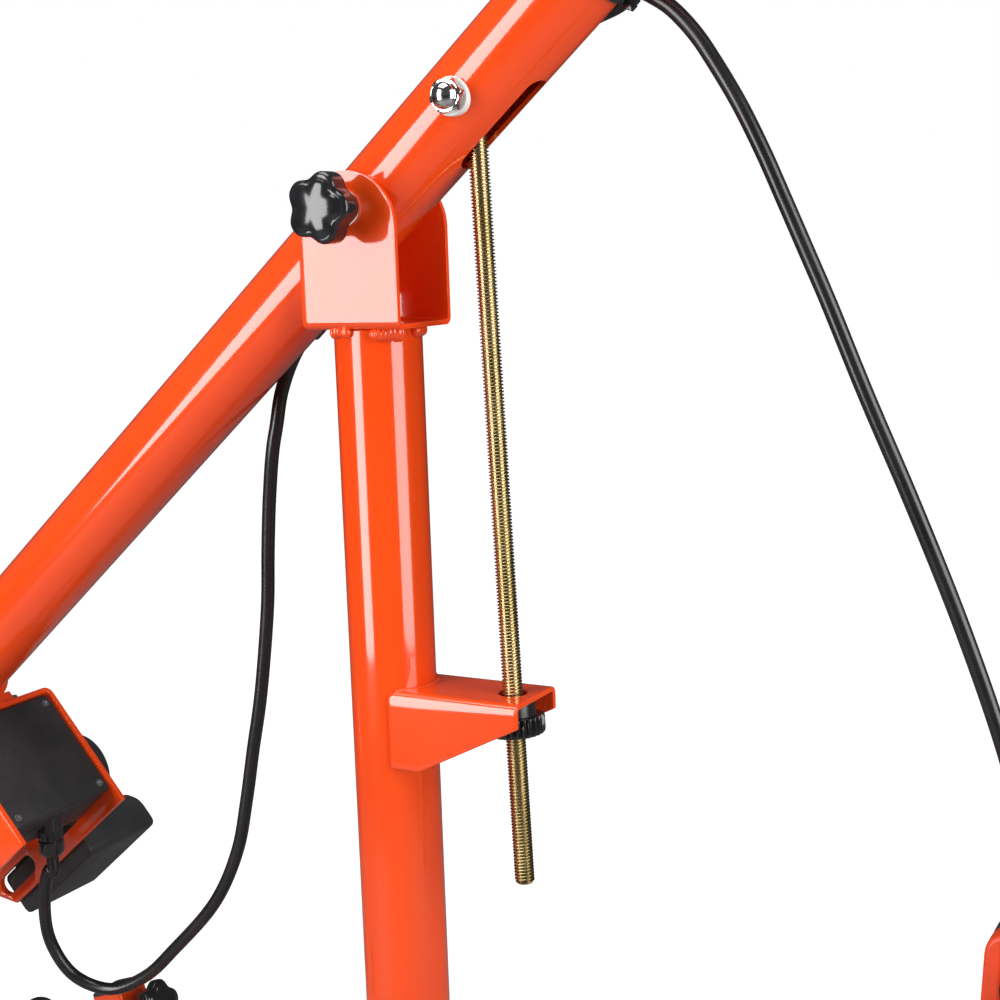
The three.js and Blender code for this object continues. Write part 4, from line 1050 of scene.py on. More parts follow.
def clampBand(x):
    inner, outer = crane["tubeRadius"] + 0.3, crane["tubeRadius"] + 3.8
    ring = filleted([(inner, -10), (outer, -10), (outer, 10), (inner, 10)], 0.8, closed=True)
    band = lathe([*ring, ring[0]], (x, 0, 0), (1, 0, 0), 96)
    foot = softened(box(x - 10, x + 10, -18, 18, hoist["top"] - 0.5, -26), 0.8)
    ears = [softened(box(x - 10, x + 10, y0, y1, 26.5, 40), 0.8) for y0, y1 in ((-6, -2), (2, 6))]
    bolt = lathe([(0, -9), (3, -9), (3, 9), (0, 9)], (x, 0, 34), (0, 1, 0), 24)
    heads = [boltHead(9, 4.5, (x, side * 6, 34), (0, side, 0)) for side in (-1, 1)]
    feet = [boltHead(9, 4, (x, side * 24, hoist["top"]), (0, 0, 1)) for side in (-1, 1)]
    return joined(band, foot, *ears), joined(bolt, *heads, *feet)


bands = [clampBand(x) for x in (hoist["back"] - 12, hoist["front"] + 12)]
piece("hoistBands", joined(*[b[0] for b in bands]), "orangePaint", "boom", (), boomFrame)
piece("hoistBolts", joined(*[b[1] for b in bands]), "brightZinc", "boom", (), boomFrame)

motor = {"radius": 34.0, "length": 86.0, "fins": 22}
motorFace = hoist["half"] + 0.3


def finned(inset):
    def radius(angle):
        wave = math.cos(motor["fins"] * angle)
        return motor["radius"] - inset - (3.0 if wave < -0.15 else 0.0)

    return radius


motorRings = [(0, 0), (33, 0), (34, 1), (34, 11), (33, 12), (finned(0.6), 13), (finned(0), 14), (finned(0), 62), (finned(0.6), 63), (32.5, 64)]
motorRings += [(33.4, 65), (33.4, 76), (30.5, 82), (26, 85.4), (20, 86), (18, 84.6), (9, 84.6), (8, 86), (0, 86)]
motorShape = lathe(motorRings, (hoist["drum"], motorFace, drumDrop), (0, 1, 0), 176)
rail = softened(box(hoist["drum"] - 30, hoist["drum"] + 30, motorFace + 6, motorFace + 66, drumDrop - motor["radius"] - 6, drumDrop - 26), 2.2, 3)
railLip = softened(box(hoist["drum"] - 34, hoist["drum"] + 34, motorFace + 6, motorFace + 66, drumDrop - 40, drumDrop - 35), 1.0)
vents = [
    softened(box(hoist["drum"] - 12 + 6 * k - 1.2, hoist["drum"] - 12 + 6 * k + 1.2, motorFace + 85, motorFace + 85.9, drumDrop - 6, drumDrop + 6), 0.3)
    for k in range(5)
]
piece("hoistMotor", joined(motorShape, rail, railLip, *vents), "blackSatin", "boom", "hoist_motor", boomFrame, 35)

gearbox = {"radius": 40.0, "length": 30.0, "screws": 6}
gearRings = filleted([(0, 0), (40, 0), (40, 11), (38.6, 12), (38.6, 13), (40, 14), (40, 25), (34, 30), (16, 30), (14, 27.5), (0, 27.5)], 1.2, 3)
gearShape = lathe(gearRings, (hoist["drum"], -motorFace, drumDrop), (0, -1, 0), 96)
capScrews = []
for k in range(gearbox["screws"]):
    a = 2 * math.pi * k / gearbox["screws"] + 0.3
    spot = (hoist["drum"] + 27 * math.cos(a), -motorFace - 28.6, drumDrop + 27 * math.sin(a))
    capScrews.append(lathe(filleted([(0, 0), (3.2, 0), (3.2, 2.6), (1.6, 2.6), (1.6, 1.2), (0, 1.2)], 0.3, 2), spot, (0, -1, 0), 32))
piece("hoistGearbox", gearShape, "greyCast", "boom", "hoist_gearbox", boomFrame, 30)
piece("gearboxScrews", joined(*capScrews), "brightZinc", "boom", (), boomFrame)

battery = {"long": 92.0, "deep": 34.0, "wide": (52.3, 122.3)}
batteryTop = drumDrop - motor["radius"] - 6 - 0.3
y0, y1 = battery["wide"]
x0, x1 = hoist["drum"] - battery["long"] / 2, hoist["drum"] + battery["long"] / 2
outlineLow = filleted([(x0, batteryTop), (x0, batteryTop - 34), (x1, batteryTop - 34), (x1, batteryTop - 12), (x1 - 10, batteryTop)], 6, 5, True)
case = softened(slab([outlineLow], y0, y1, "xz"), 2.0, 3, 50)
grips = [softened(box(x0 + 12 + 5 * k, x0 + 14.4 + 5 * k, y1 - 0.6, y1 + 0.9, batteryTop - 27, batteryTop - 9), 0.4) for k in range(7)]
latch = softened(box(x1 - 9, x1 - 2, (y0 + y1) / 2 - 14, (y0 + y1) / 2 + 14, batteryTop - 11, batteryTop - 4), 1.6, 3)
piece("battery", joined(case, *grips), "blackSatin", "hoist_battery", "hoist_battery", boomFrame)
piece("batteryLatch", latch, "redPlastic", "hoist_battery", (), boomFrame)

control = {"long": 42.0, "deep": 84.0, "half": 45.7}
boxBack = hoist["back"] - 2
boxTop = under - 0.3
caseSides = filleted([(-45.7, boxTop), (45.7, boxTop), (45.7, boxTop - 84), (-45.7, boxTop - 84)], 5, 5, True)
lidSides = filleted([(-44.5, boxTop - 1), (44.5, boxTop - 1), (44.5, boxTop - 83), (-44.5, boxTop - 83)], 5, 5, True)
controlCase = softened(slab([caseSides], boxBack - control["long"], boxBack - 9.4, "yz"), 1.2, 3, 50)
controlSeam = slab([lidSides], boxBack - 10.4, boxBack - 8, "yz")
controlLid = softened(slab([caseSides], boxBack - 8.6, boxBack, "yz"), 1.6, 3, 50)
lidScrews = [
    lathe(filleted([(0, 0), (2.8, 0), (2.8, 1.4), (1.2, 1.4), (1.2, 0.4), (0, 0.4)], 0.3, 2), (boxBack - 0.4, y, z), (1, 0, 0), 28)
    for y in (-39, 39) for z in (boxTop - 7, boxTop - 77)
]
piece("controlBox", joined(controlCase, controlSeam, controlLid), "blackSatin", "boom", "hoist_controller", boomFrame, 35)
piece("controlScrews", joined(*lidScrews), "brightZinc", "boom", (), boomFrame)

# cable gland: hexagon, clamping dome and seal, hanging plumb
glandTop = glandSeat.z + 12
glandRings = [(0, glandTop), (8.9, glandTop), (8.9, glandLow + 19)]
glandRings += [(hexRadius(15.6), glandLow + 19), (hexRadius(15.6), glandLow + 12.5), (7.9, glandLow + 12)]
glandRings += [(8.6, glandLow + 11), (8.6, glandLow + 4), (7.4, glandLow + 1.4), (6.0, glandLow), (0, glandLow)]
piece("cableGland", lathe(glandRings, (glandSeat.x, 0, 0), (0, 0, 1), 72), "blackGloss", "boom", "cable_gland", pinFrame, 30)

drum = {"radius": 20.0, "flange": 29.0, "half": 26.0}
grooves = []
for k in range(27):
    y = -drum["half"] + 2 * k
    grooves.append((drum["radius"] - (0.0 if k % 2 else 0.45), y))
drumRings = [(0, -48), (6.4, -48), (7, -47.4), (7, -30), (28, -30), (29, -29), (29, -27), (28, -26), *grooves]
drumRings += [(28, 26), (29, 27), (29, 29), (28, 30), (7, 30), (7, 47.4), (6.4, 48), (0, 48)]
piece("ropeDrum", lathe(drumRings, (hoist["drum"], 0, drumDrop), (0, 1, 0), 72), "greyCast", "rope_drum", "rope_drum", boomFrame, 30)


def ropeSection(radius, step, lay=14.0, strands=6):
    def section(i, angle):
        phase = strands * (angle - 2 * math.pi * i * step / lay)
        return radius * (0.87 + 0.13 * abs(math.cos(phase / 2)))

    return section


rope = {"radius": 2.0, "turns": 6, "step": 1.1}
coil = []
for k in range(rope["turns"] * 60 + 1):
    a = math.pi / 2 + 2 * math.pi * k / 60
    coil.append((hoist["drum"] + 22 * math.cos(a), -24 + 24 * k / (rope["turns"] * 60), drumDrop + 22 * math.sin(a)))
piece("ropeWraps", swept(coil, ropeSection(rope["radius"], 2.3), 24), "wireRope", "rope_drum", (), boomFrame, 80)

sheave = {"along": -718.0, "radius": 28.0, "half": 5.0}
sheaveDrop = hoist["rope"] - sheave["radius"]
runLine = [(hoist["drum"] + (sheave["along"] - hoist["drum"]) * k / 110, 0, hoist["rope"]) for k in range(111)]
wrapEnd = math.pi - boomTilt
for k in range(1, 25):
    a = math.pi / 2 + (wrapEnd - math.pi / 2) * k / 24
    runLine.append((sheave["along"] + 28 * math.cos(a), 0, sheaveDrop + 28 * math.sin(a)))
piece("ropeRun", swept(runLine, ropeSection(rope["radius"], 1.4), 24), "wireRope", "boom", "rope_run", boomFrame, 80)

sheaveRings = filleted(
    [(6.4, -5), (12, -5), (13, -3.4), (21, -3.4), (23, -5), (32, -5), (31.6, -4), (25.8, -1.2), (25.8, 1.2), (31.6, 4), (32, 5), (23, 5), (21, 3.4),
     (13, 3.4), (12, 5), (6.4, 5)], 0.4, 2,
)
sheaveWheel = piece(
    "tipSheave", lathe([*sheaveRings, sheaveRings[0]], (sheave["along"], 0, sheaveDrop), (0, 1, 0), 96), "greyCast", "tip_sheave", "tip_sheave", boomFrame, 30
)
lightHoles = []
for k in range(5):
    a = 2 * math.pi * k / 5 + 0.2
    lightHoles.append(lathe([(0, -8), (3.1, -8), (3.1, 8), (0, 8)], (sheave["along"] + 17 * math.cos(a), 0, sheaveDrop + 17 * math.sin(a)), (0, 1, 0), 28))
cutAway(sheaveWheel, joined(*lightHoles), boomFrame)

cheek = filleted(
    [(-752, sheaveDrop - 12), (-752, sheaveDrop + 26), (-734, -8), (-640, -8), (-640, -50), (-696, sheaveDrop - 24), (-740, sheaveDrop - 24)], 6, 4, True
)
cheeks = []
for low, high in ((-11, -7), (7, 11)):
    plateShape = softened(slab([cheek], low, high, "xz"), 0.5, 2, 60)
    cheeks.append(plateShape)
web = softened(box(-648, -640, -7.5, 7.5, -36, -20), 0.6)
tipBracket = piece("tipBracket", joined(*cheeks, web), "orangePaint", "boom", "tip_bracket", boomFrame)
tubeCut = lathe([(0, -715), (25.7, -715), (25.7, -500), (0, -500)], (0, 0, 0), (1, 0, 0), 96)
cutAway(tipBracket, tubeCut, boomFrame)
tipWelds = [
    weldBead([(-698, side * 12.2, -22.9), (-642, side * 12.2, -22.9)], 2.2, 2.2 + side, lump=0.25) for side in (-1, 1)
]
piece("tipWeld", joined(*tipWelds), "orangePaint", "boom", (), boomFrame, 75)
sheavePin = joined(
    lathe([(0, -20), (5.4, -20), (6, -19), (6, 13), (0, 13)], (sheave["along"], 0, sheaveDrop), (0, 1, 0), 40),
    *[lathe(hexHead(17.3, 7.5), (sheave["along"], side * 11.3, sheaveDrop), (0, side, 0), 60) for side in (-1, 1)],
)
piece("sheaveBolt", sheavePin, "brightZinc", "boom", "sheave_bolt", boomFrame, 26)

sheaveCentre = boomToPin((sheave["along"], 0, sheaveDrop))
fallX, fallTop = sheaveCentre.x - 28, sheaveCentre.z - 1
fallLow = fallTop - 150
fallLine = [(fallX, 0, fallTop + 1 - 151 * k / 130) for k in range(131)]
piece(
    "ropeFall", swept(fallLine, ropeSection(rope["radius"], 1.16), 24), "wireRope", "rope_fall", "rope_fall", pinFrame, 80,
    ("hook_block", (pinFrame @ Vector((fallX, 0, fallTop))) * unit, (pinFrame @ Vector((fallX, 0, fallLow))) * unit),
)

blockTop = fallLow - 0.3
ferrule = filleted([(0, 0), (4.6, 0), (5.2, -4), (9, -9), (14, -14), (14, -25), (12.8, -26.5), (12.8, -28.5), (14, -30), (14, -40), (9, -46), (0, -46)], 1.6, 4)
piece("hookWeight", lathe(ferrule, (fallX, 0, blockTop), (0, 0, 1), 72), "blackSatin", "hook_block", "hook_ferrule", pinFrame, 30)

hook = {"reach": 24.0, "drop": 58.0}
hookTop = blockTop - 46.4
hookLine = [(fallX, 0, hookTop - 20), (fallX, 0, hookTop - 24), (fallX + 3, 0, hookTop - 30)]
for k in range(13):
    a = math.radians(55 - k * 250 / 12)
    hookLine.append((fallX + 24 * math.cos(a), 0, hookTop - 58 + 24 * math.sin(a)))
hookLine = smoothLine(hookLine, 6)
hookSteps = len(hookLine) - 1


def hookSection(i, angle):
    share = i / hookSteps
    swell = 5.2 + 1.3 * math.sin(math.pi * min(1, share * 1.35)) ** 2
    tip = math.sqrt(max(0.0, min(1, (1 - share) * 9)))
    return min(swell, 6.1) * (0.25 + 0.75 * tip)


hookCollar = filleted([(0, 0), (6.6, 0), (7, -1), (7, -7), (9.4, -9), (9.4, -17), (6.6, -22), (5.6, -28), (0, -28)], 0.9, 3)
hookShape = joined(lathe(hookCollar, (fallX, 0, hookTop), (0, 0, 1), 48), swept(hookLine, hookSection, 32))
piece("hook", hookShape, "orangePaint", "hook", "hook", pinFrame, 50)

latchTip = (fallX + 24 * math.cos(math.radians(-195)), hookTop - 58 + 24 * math.sin(math.radians(-195)))
latchOutline = filleted(
    [(fallX - 13.5, hookTop - 17), (fallX - 8, hookTop - 17), (latchTip[0] + 8, latchTip[1] + 9), (latchTip[0] + 2, latchTip[1] + 9)], 1.6, 3, True
)
latchPlate = softened(slab([latchOutline], -4, 4, "xz"), 0.8, 2, 50)
latchPin = lathe([(0, -7), (1.5, -7), (1.5, 7), (0, 7)], (fallX - 10.7, 0, hookTop - 19), (0, 1, 0), 24)
spring = []
for k in range(5 * 20 + 1):
    a = 2 * math.pi * k / 20
    spring.append((fallX - 10.7 + 2.6 * math.cos(a), 4.3 + 2.2 * k / 100, hookTop - 19 + 2.6 * math.sin(a)))
piece("hookLatch", joined(latchPlate, latchPin, swept(spring, 0.4, 8)), "brightZinc", "hook_latch", "hook_latch", pinFrame, 45)
print("hoist, rope and hook built")

# ---- pendant control ----
pendant = {"long": 138.0, "wide": 50.0, "deep": 34.0}
px, py, pz = pendantSpot


def pendantOutline(inset=0.0):
    half, high, low = pendant["wide"] / 2 - inset, pz - 0.3 - inset, pz - 0.3 - pendant["long"] + inset
    return filleted([(px - half + 3, high), (px - half, high - 48), (px - half + 2, low), (px + half - 2, low), (px + half, high - 48), (px + half - 3, high)], 12, 7, True)


def pendantHalf(y0, y1, round):
    return softened(slab([pendantOutline()], y0, y1, "xz"), round, 4, 50)


front = piece("pendantFront", pendantHalf(py - 17, py - 0.3, 2.4), "orangePlastic", "pendant", "pendant_front", pinFrame, 35)
piece("pendantBack", pendantHalf(py + 0.3, py + 17, 3.2), "blackSatin", "pendant", "pendant_back", pinFrame, 35)
piece("pendantSeam", slab([pendantOutline(0.8)], py - 1.4, py + 1.4, "xz"), "blackSatin", "pendant", (), pinFrame)
buttons = {
    "stop": {"drop": 30, "radius": 12, "proud": 9, "finish": "redPlastic"},
    "up": {"drop": 66, "radius": 10, "proud": 4, "finish": "whiteNylon"},
    "down": {"drop": 96, "radius": 10, "proud": 4, "finish": "greyPlastic"},
}
bezels = []
for name, b in buttons.items():
    spot = (px, py - 17, pz - b["drop"])
    r, proud = b["radius"], b["proud"]
    well = lathe([(0, -9), (r + 0.4, -9), (r + 0.4, 3), (0, 3)], spot, (0, -1, 0), 48)
    cutAway(front, well, pinFrame)
    ring = filleted([(r + 0.45, -2), (r + 2.6, -2), (r + 2.6, 0.8), (r + 1.6, 1.6), (r + 0.45, 1.6)], 0.5, 3)
    bezels.append(lathe([*ring, ring[0]], spot, (0, -1, 0), 64))
    if name == "stop":
        cap = filleted([(0, -6), (9, -6), (9, 2), (r, 4), (r, 7.4), (0, proud)], 1.4, 5)
    else:
        cap = filleted([(0, -6), (r, -6), (r, proud), (r - 3, proud), (r - 4.4, proud - 0.7), (0, proud - 0.7)], 0.8, 4)
    piece(name + "Button", lathe(cap, spot, (0, -1, 0), 64), b["finish"], name + "_button", name + "_button", pinFrame)
piece("pendantBezels", joined(*bezels), "blackGloss", "pendant", (), pinFrame)
reliefRings = [(0, 0), (11, 0), (11, 2.2), (10.2, 3)]
for k in range(5):
    r = 9.6 - 0.6 * k
    reliefRings += [(r, 3.4 + 3 * k), (r, 5.2 + 3 * k), (r - 1.4, 5.5 + 3 * k), (r - 1.4, 6.1 + 3 * k)]
reliefRings = [(r, h) for r, h in reliefRings if h <= 17.6] + [(5.6, 17.9), (0, 18)]
relief = piece("pendantGland", lathe(reliefRings, tuple(pendantSpot), (0, 0, 1), 56), "blackGloss", "pendant", "pendant_gland", pinFrame, 30)
caseScrews = [
    lathe(filleted([(0, 0), (2.6, 0), (2.6, 0.9), (1.1, 0.9), (1.1, 0.1), (0, 0.1)], 0.2, 2), (px + x, py + 16.8, pz - d), (0, 1, 0), 24)
    for x, d in ((-15, 12), (15, 12), (-15, 126), (15, 126))
]
piece("pendantScrews", joined(*caseScrews), "brightZinc", "pendant", (), pinFrame)
print("pendant built")

# ---- base ----
base = {"low": 40.0, "high": 80.0, "wall": 3.0, "corner": 4.5, "frontX": -233.0, "rearX": 400.0}


def boxSection(half, low, high, wall=3.0, corner=4.5):
    outer = filleted([(-half, low), (half, low), (half, high), (-half, high)], corner, 4, True)
    inner = filleted([(wall - half, low + wall), (half - wall, low + wall), (half - wall, high - wall), (wall - half, high - wall)], corner - wall + 0.6, 3, True)
    return [outer, inner]


def boxPlug(half, low, high, wall=3.0, deep=4.0):
    # closing cap for a box tube; drawn along the tube from its end
    shape = filleted([(0.2 - half, low + 0.2), (half - 0.2, low + 0.2), (half - 0.2, high - 0.2), (0.2 - half, high - 0.2)], 4.3, 4, True)
    return softened(slab([shape], -deep, 0, "xy"), 0.9, 3, 50)


spineTube = slab(boxSection(25, 40, 80), -207.7, 379.7, "yz")
post = lathe(filleted([(0, 79), (8, 79), (8, 171), (0, 171.3)], 1.4, 3), (285, 0, 0), (0, 0, 1), 40)
piece("baseSpine", joined(spineTube, post), "orangePaint", "base", "base_spine")
frontTube = reshaped(slab(boxSection(25, 40, 80), -162, 162, "yz"), lambda p: (p.y + base["frontX"], p.x, p.z))
lugs = []
for side in (-1, 1):
    for sign in (-1, 1):
        y = side * 120 + sign * 18.9
        lug = filleted([(-253, 79), (-213, 79), (-221, 114), (-245, 114)], 7, 5, True)
        hole = circle(-233, 102, 5.3)
        lugs.append(softened(slab([lug, hole], y - 2.5, y + 2.5, "xz"), 0.5, 2, 60))
        lugs.append(weldBead([(-252, y + sign * 3.4, 80.6), (-214, y + sign * 3.4, 80.6)], 1.6, 5.3 + y, lump=0.2))
piece("frontBar", joined(frontTube, *lugs), "orangePaint", "base", "front_crossbar", crease=45)
rearTube = reshaped(slab(boxSection(20, 40, 80), -147, 147, "yz"), lambda p: (p.y + base["rearX"], p.x, p.z))
piece("rearBar", rearTube, "orangePaint", "base", "rear_crossbar")
plugs = []
for side in (-1, 1):
    plug = boxPlug(25, -20, 20)
    plugs.append(reshaped(plug, lambda p, s=side: (p.x + base["frontX"], s * (165 + p.z), p.y + 60)))
    plug = boxPlug(20, -20, 20)
    plugs.append(reshaped(plug, lambda p, s=side: (p.x + base["rearX"], s * (150 + p.z), p.y + 60)))
piece("barPlugs", joined(*plugs), "blackSatin", "base", ())
baseWelds = []
for y in (-25.6, 25.6):
    baseWelds.append(weldBead([(-208.6, y, 43), (-208.6, y, 78)], 2.2, y))
    baseWelds.append(weldBead([(379.8, y, 43), (379.8, y, 78)], 2.2, y + 3))
for x in (-208.4, 380.2):
    baseWelds.append(weldBead([(x, -24, 80.2), (x, 24, 80.2)], 1.8, x))
piece("baseWelds", joined(*baseWelds), "orangePaint", "base", (), crease=75)

socket = {"inner": 25.8, "outer": 29.2, "low": 80.3, "high": 240.3, "knobZ": 200.0}
socketRings = filleted([(25.8, 80.3), (41.2, 80.3), (41.2, 85.3), (29.2, 85.3), (29.2, 240.3), (25.8, 240.3)], 0.7, 3, True)
bossRings = filleted([(5.3, 0), (11, 0), (11, 15.5), (5.3, 15.5)], 0.8, 3, True)
boss = lathe([*bossRings, bossRings[0]], (0, -27.7, socket["knobZ"]), (0, -1, 0), 48)
socketBody = joined(
    lathe([*socketRings, socketRings[0]], (0, 0, 0), (0, 0, 1), 96), boss,
    weldBead(arcPath(30.2, 86.2, 0, 359), 2.2, 9.9, lump=0.2),
)
piece("mastSocket", socketBody, "orangePaint", "base", "mast_socket", crease=45)
flangeBolts = []
for k in range(4):
    a = math.pi / 4 + k * math.pi / 2
    r = 35.6
    flangeBolts.append(lathe(hexHead(8, 4.4), (r * math.cos(a), r * math.sin(a), 85.3), (0, 0, 1), 48))
piece("flangeBolts", joined(*flangeBolts), "brightZinc", "base", (), crease=26)


def footShape(x, y):
    rings = filleted([(0, 1.2), (22, 1.2), (23, 0), (27, 0), (30, 3), (29, 12), (26, 30), (24, 39.7), (0, 39.7)], 1.4, 3)
    return lathe(rings, (x, y, 0), (0, 0, 1), 64)


for name, node, x, y in (
    ("centreFoot", "centre_foot", 0, 0), ("frontFootLeft", "front_foot_left", -233, -140), ("frontFootRight", "front_foot_right", -233, 140),
):
    piece(name, footShape(x, y), "tyreRubber", "base", node)

weights = []
notch = [(13.6 * math.cos(math.pi * k / 12), 13.6 * math.sin(math.pi * k / 12)) for k in range(13)]
for layer in range(3):
    low = 80.3 + 25 * layer
    loop = [(230, -90), *[(285 - x, -94 + y) for x, y in notch if -94 + y > -90], (340, -90), (340, 90)]
    loop += [(285 + x, 94 - y) for x, y in notch if 94 - y < 90] + [(230, 90)]
    weights.append(softened(slab([loop, circle(285, 0, 9, 32)], low + 0.15, low + 24.85, "xy"), 1.6, 3, 50))
    rib = softened(slab([filleted([(242, -74), (328, -74), (328, -20), (242, -20)], 6, 4, True)], low + 24, low + 24.8, "xy"), 0.3)
    weights.append(rib)
piece("counterweight", joined(*weights), "castIron", "base", "counterweight")
knobAt("weightKnob", "weight_knob", "weight_knob", (285, 0, 155.6), (0, 0, 1), {"radius": 24, "thick": 14, "stem": 10, "stemRadius": 14})

clampStart = -29.2 - 14 - 5
clampStud = threadedRod(Vector((0, -25.9, 200)), Vector((0, -1, 0)), {"radius": 5, "root": 4.2, "pitch": 1.6, "around": 24}, 24)
knobAt("mastClampKnob", "mast_clamp_knob", "mast_clamp_knob", (0, clampStart, 200), (0, -1, 0), {"radius": 20, "thick": 13, "stem": 12, "stemRadius": 10})
piece("mastClampStud", clampStud, "brightZinc", "mast_clamp_knob", (), crease=50)

# ---- transport wheels ----
wheel = {"radius": 60.0, "width": 30.0, "inner": 157.3, "lugs": 36}


def treaded(base, depth, phase=0.0):
    def radius(angle):
        wave = math.cos(wheel["lugs"] * angle + phase)
        return base - (depth if wave < -0.35 else 0.0)

    return radius


axle = [lathe([(0, -197), (7.2, -197), (8, -196.2), (8, 196.2), (7.2, 197), (0, 197)], (400, 0, 60), (0, 1, 0), 40)]
for side, name in ((-1, "left"), (1, "right")):
    start = (400, side * wheel["inner"], 60)
    tyre = [(44, 2), (50, 1), (55, 2.2), (58, 5)]
    tyre += [(treaded(59.6, 1.6), 6), (treaded(60, 1.6), 7), (treaded(60, 1.6), 13.4), (58, 14), (58, 16)]
    tyre += [(treaded(60, 1.6, math.pi), 16.6), (treaded(60, 1.6, math.pi), 23), (treaded(59.6, 1.6, math.pi), 24), (58, 25), (55, 27.8), (50, 29), (44, 28)]
    tyre += [(41, 26), (41, 4), (44, 2)]
    piece("tyre" + name.capitalize(), lathe(tyre, start, (0, side, 0), 288), "tyreRubber", "transport_wheel_" + name, "transport_wheel_" + name, crease=35)
    rim = filleted([(8.4, 0.2), (18, 0.2), (18, 6), (22, 9), (34, 10), (38, 5), (41, 4), (41, 26), (38, 25), (34, 20), (22, 21), (18, 24), (18, 29.8), (8.4, 29.8)], 1.2, 3, True)
    hub = [lathe([*rim, rim[0]], start, (0, side, 0), 96)]
    for k in range(6):
        rib = softened(box(17, 36, -1.8, 1.8, 6, 24), 0.7)
        turn = Matrix.Rotation(math.pi / 3 * k, 4, "Z")
        stand = Vector((0, 0, 1)).rotation_difference(Vector((0, side, 0))).to_matrix().to_4x4()
        hub.append(moved(rib, Matrix.Translation(start) @ stand @ turn))
    piece("hub" + name.capitalize(), joined(*hub), "blackSatin", "transport_wheel_" + name, (), crease=35)
    capRings = filleted([(0, 0), (14, 0), (14, 5), (9, 9), (0, 10)], 1.4, 4)
    axle.append(lathe(capRings, (400, side * 187.6, 60), (0, side, 0), 48))
    axle.append(lathe(washer(15, 8.2, 2.0), (400, side * 151, 60), (0, side, 0), 48))
piece("wheelAxle", joined(*axle), "brightZinc", "base", "wheel_axle")

# ---- folding front legs ----
leg = {"side": 30.0, "wall": 2.5, "long": 340.0, "level": 318.0}
for side, name in ((-1, "left"), (1, "right")):
    hinge = (crane["legHinge"][0], side * crane["legHinge"][1], crane["legHinge"][2])
    legFrame = Matrix.Translation(hinge) @ Matrix.Rotation(-math.radians(90 + crane["legLean"]), 4, "Y")
    tube = slab(boxSection(15, -15, 15, 2.5, 4.0), -12, 337.5, "yz")
    nut = lathe([(hexRadius(15.6), 14.5), (hexRadius(15.6), 24.4), (hexRadius(15.6, 0.8), 25), (5.2, 25)], (leg["level"], 0, 0), (0, 0, 1), 60)
    beam = piece("frontLeg" + name.capitalize(), joined(tube, nut), "orangePaint", "front_leg_" + name, "front_leg_" + name, legFrame)
    cutAway(beam, lathe([(0, -20), (5.4, -20), (5.4, 20), (0, 20)], (0, 0, 0), (0, 1, 0), 40), legFrame)
    plug = reshaped(boxPlug(15, -15, 15, 2.5, 3.4), lambda p: (340 + p.z, p.x, p.y))
    piece("legPlug" + name.capitalize(), plug, "blackSatin", "front_leg_" + name, (), legFrame)
    lowStud = threadedRod(Vector((318, 0, -23)), Vector((0, 0, 1)), {"radius": 5, "root": 4.25, "pitch": 1.6, "around": 22}, 113)
    piece("levelStud" + name.capitalize(), lowStud, "brightZinc", "levelling_foot_" + name, (), legFrame, 50)
    padRings = filleted([(0, 102), (20, 102), (21, 101.4), (24, 102), (25, 99), (21.5, 94), (13, 89.6), (12, 82), (0, 82)], 1.0, 3)
    pad = lathe(padRings, (318, 0, 0), (0, 0, 1), 64)
    knobAt(
        "levellingFoot" + name.capitalize(), "levelling_foot_" + name, "levelling_foot_" + name, (318, 0, -23), (0, 0, -1),
        {"radius": 19, "thick": 12.5, "stem": 9, "stemRadius": 9}, more=[pad], frameOf=legFrame,
    )
    y = hinge[1]
    pin = joined(
        lathe(hexHead(15.6, 6.7), (-233, y - side * 21.7, 102), (0, -side, 0), 60),
        lathe([(0, 0), (5, 0), (5, 57), (4.2, 58), (0, 58)], (-233, y - side * 21.7, 102), (0, side, 0), 32),
    )
    piece("legPin" + name.capitalize(), pin, "brightZinc", "base", "leg_pin_" + name, crease=26)
    knobAt(
        "legKnob" + name.capitalize(), "leg_lock_knob_" + name, "leg_lock_knob_" + name, (-233, y + side * 21.7, 102), (0, side, 0),
        {"radius": 17, "thick": 11, "stem": 8, "stemRadius": 9},
    )
print("base and legs built")

# ---- studio ----
studio = {"floor": (0.28, 0.28, 0.28), "ambient": 0.07, "nearGlow": 0.8, "farGlow": 1.05, "near": 0.7, "far": 1.5}


def softbox(name, place, aim, wide, high, watts):
    lamp = bpy.data.lights.new(name, "AREA")
    lamp.shape = "RECTANGLE"
    lamp.size, lamp.size_y = wide, high
    lamp.energy = watts
    thing = bpy.data.objects.new(name, lamp)
    thing.matrix_world = Matrix.Translation(place) @ (Vector(aim) - Vector(place)).to_track_quat("-Z", "Y").to_matrix().to_4x4()
    thing.visible_camera = False
    scene.collection.objects.link(thing)


softbox("leftSoftbox", (-0.845, -1.589, 1.25), (0, 0, 1.25), 0.76, 1.9, 37)
softbox("rightSoftbox", (1.79, -0.19, 1.25), (0, 0, 1.15), 1.25, 1.9, 40)
softbox("topSoftbox", (-0.3, -0.5, 2.9), (0, 0, 0.9), 1.5, 1.5, 34)

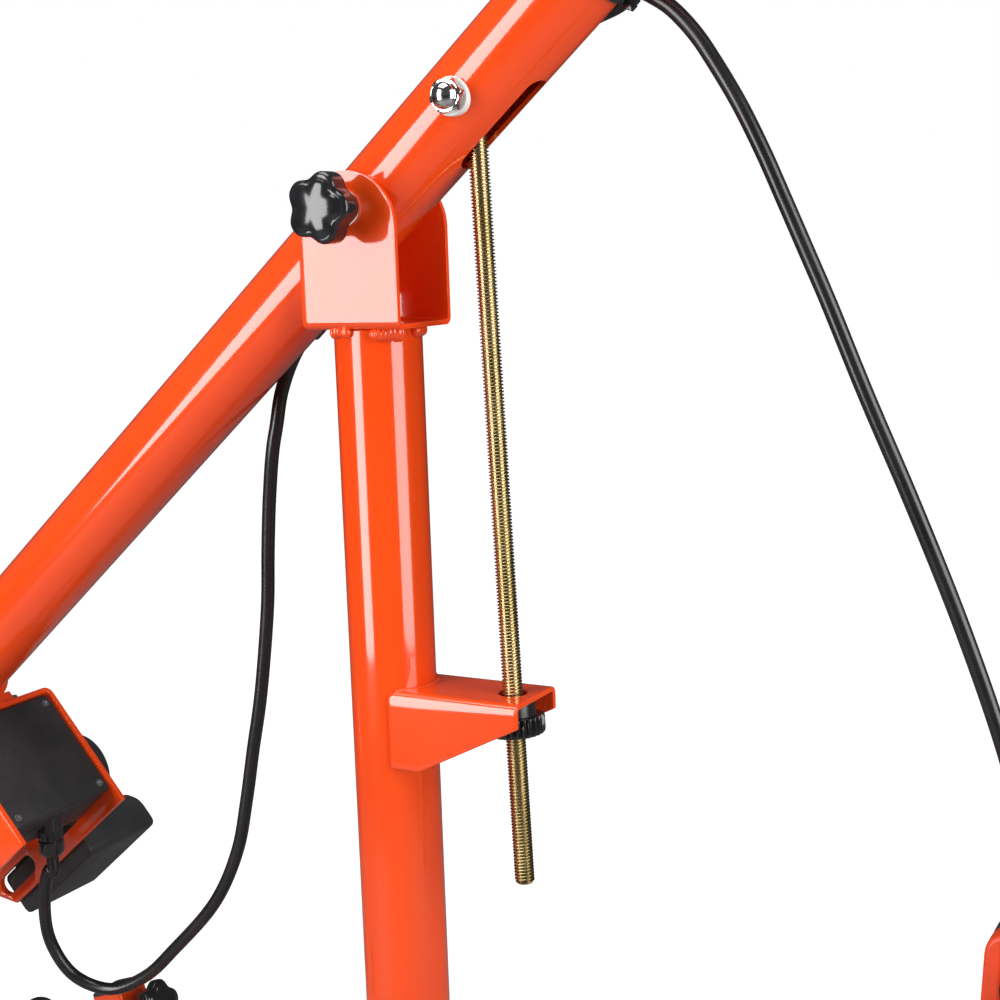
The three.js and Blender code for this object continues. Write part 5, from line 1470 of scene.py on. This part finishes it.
world = bpy.data.worlds.new("studioWorld")
scene.world = world
world.use_nodes = True
air = world.node_tree
air.nodes.clear()
rays = put(air, "ShaderNodeLightPath")
seen = put(air, "ShaderNodeMath", {0: rays.outputs["Is Camera Ray"], 1: rays.outputs["Is Transmission Ray"]}, operation="ADD", use_clamp=True)
strength = put(air, "ShaderNodeMapRange", {"Value": seen.outputs[0], "To Min": studio["ambient"], "To Max": 1.0})
sky = put(air, "ShaderNodeBackground", {"Color": (1, 1, 1, 1), "Strength": strength.outputs["Result"]})
skyOut = put(air, "ShaderNodeOutputWorld")
air.links.new(sky.outputs["Background"], skyOut.inputs["Surface"])

floorMesh = bpy.data.meshes.new("studioFloor")
reach = 30.0
floorMesh.from_pydata([(-reach, -reach, 0), (reach, -reach, 0), (reach, reach, 0), (-reach, reach, 0)], [], [(0, 1, 2, 3)])
floor = bpy.data.objects.new("studioFloor", floorMesh)
scene.collection.objects.link(floor)
floorPaint = bpy.data.materials.new("studioFloor")
floorPaint.use_nodes = True
tree = floorPaint.node_tree
tree.nodes.clear()
matt = put(tree, "ShaderNodeBsdfDiffuse", {"Color": (*studio["floor"], 1)})
spot = put(tree, "ShaderNodeTexCoord").outputs["Object"]
away = put(tree, "ShaderNodeVectorMath", {0: spot}, operation="LENGTH")
glow = put(
    tree, "ShaderNodeMapRange",
    {
        "Value": away.outputs["Value"], "From Min": studio["near"], "From Max": studio["far"],
        "To Min": studio["nearGlow"], "To Max": studio["farGlow"],
    },
)
glowing = put(tree, "ShaderNodeEmission", {"Color": (1, 1, 1, 1), "Strength": glow.outputs["Result"]})
rays = put(tree, "ShaderNodeLightPath")
dark = put(tree, "ShaderNodeEmission", {"Color": (0, 0, 0, 1), "Strength": 0.0})
pick = put(tree, "ShaderNodeMixShader", {0: rays.outputs["Is Camera Ray"], 1: dark.outputs[0], 2: glowing.outputs[0]})
both = put(tree, "ShaderNodeAddShader", {0: matt.outputs[0], 1: pick.outputs[0]})
out = put(tree, "ShaderNodeOutputMaterial")
tree.links.new(both.outputs[0], out.inputs["Surface"])
floorMesh.materials.append(floorPaint)
scene.view_settings.view_transform = "Standard"
print("studio ready")
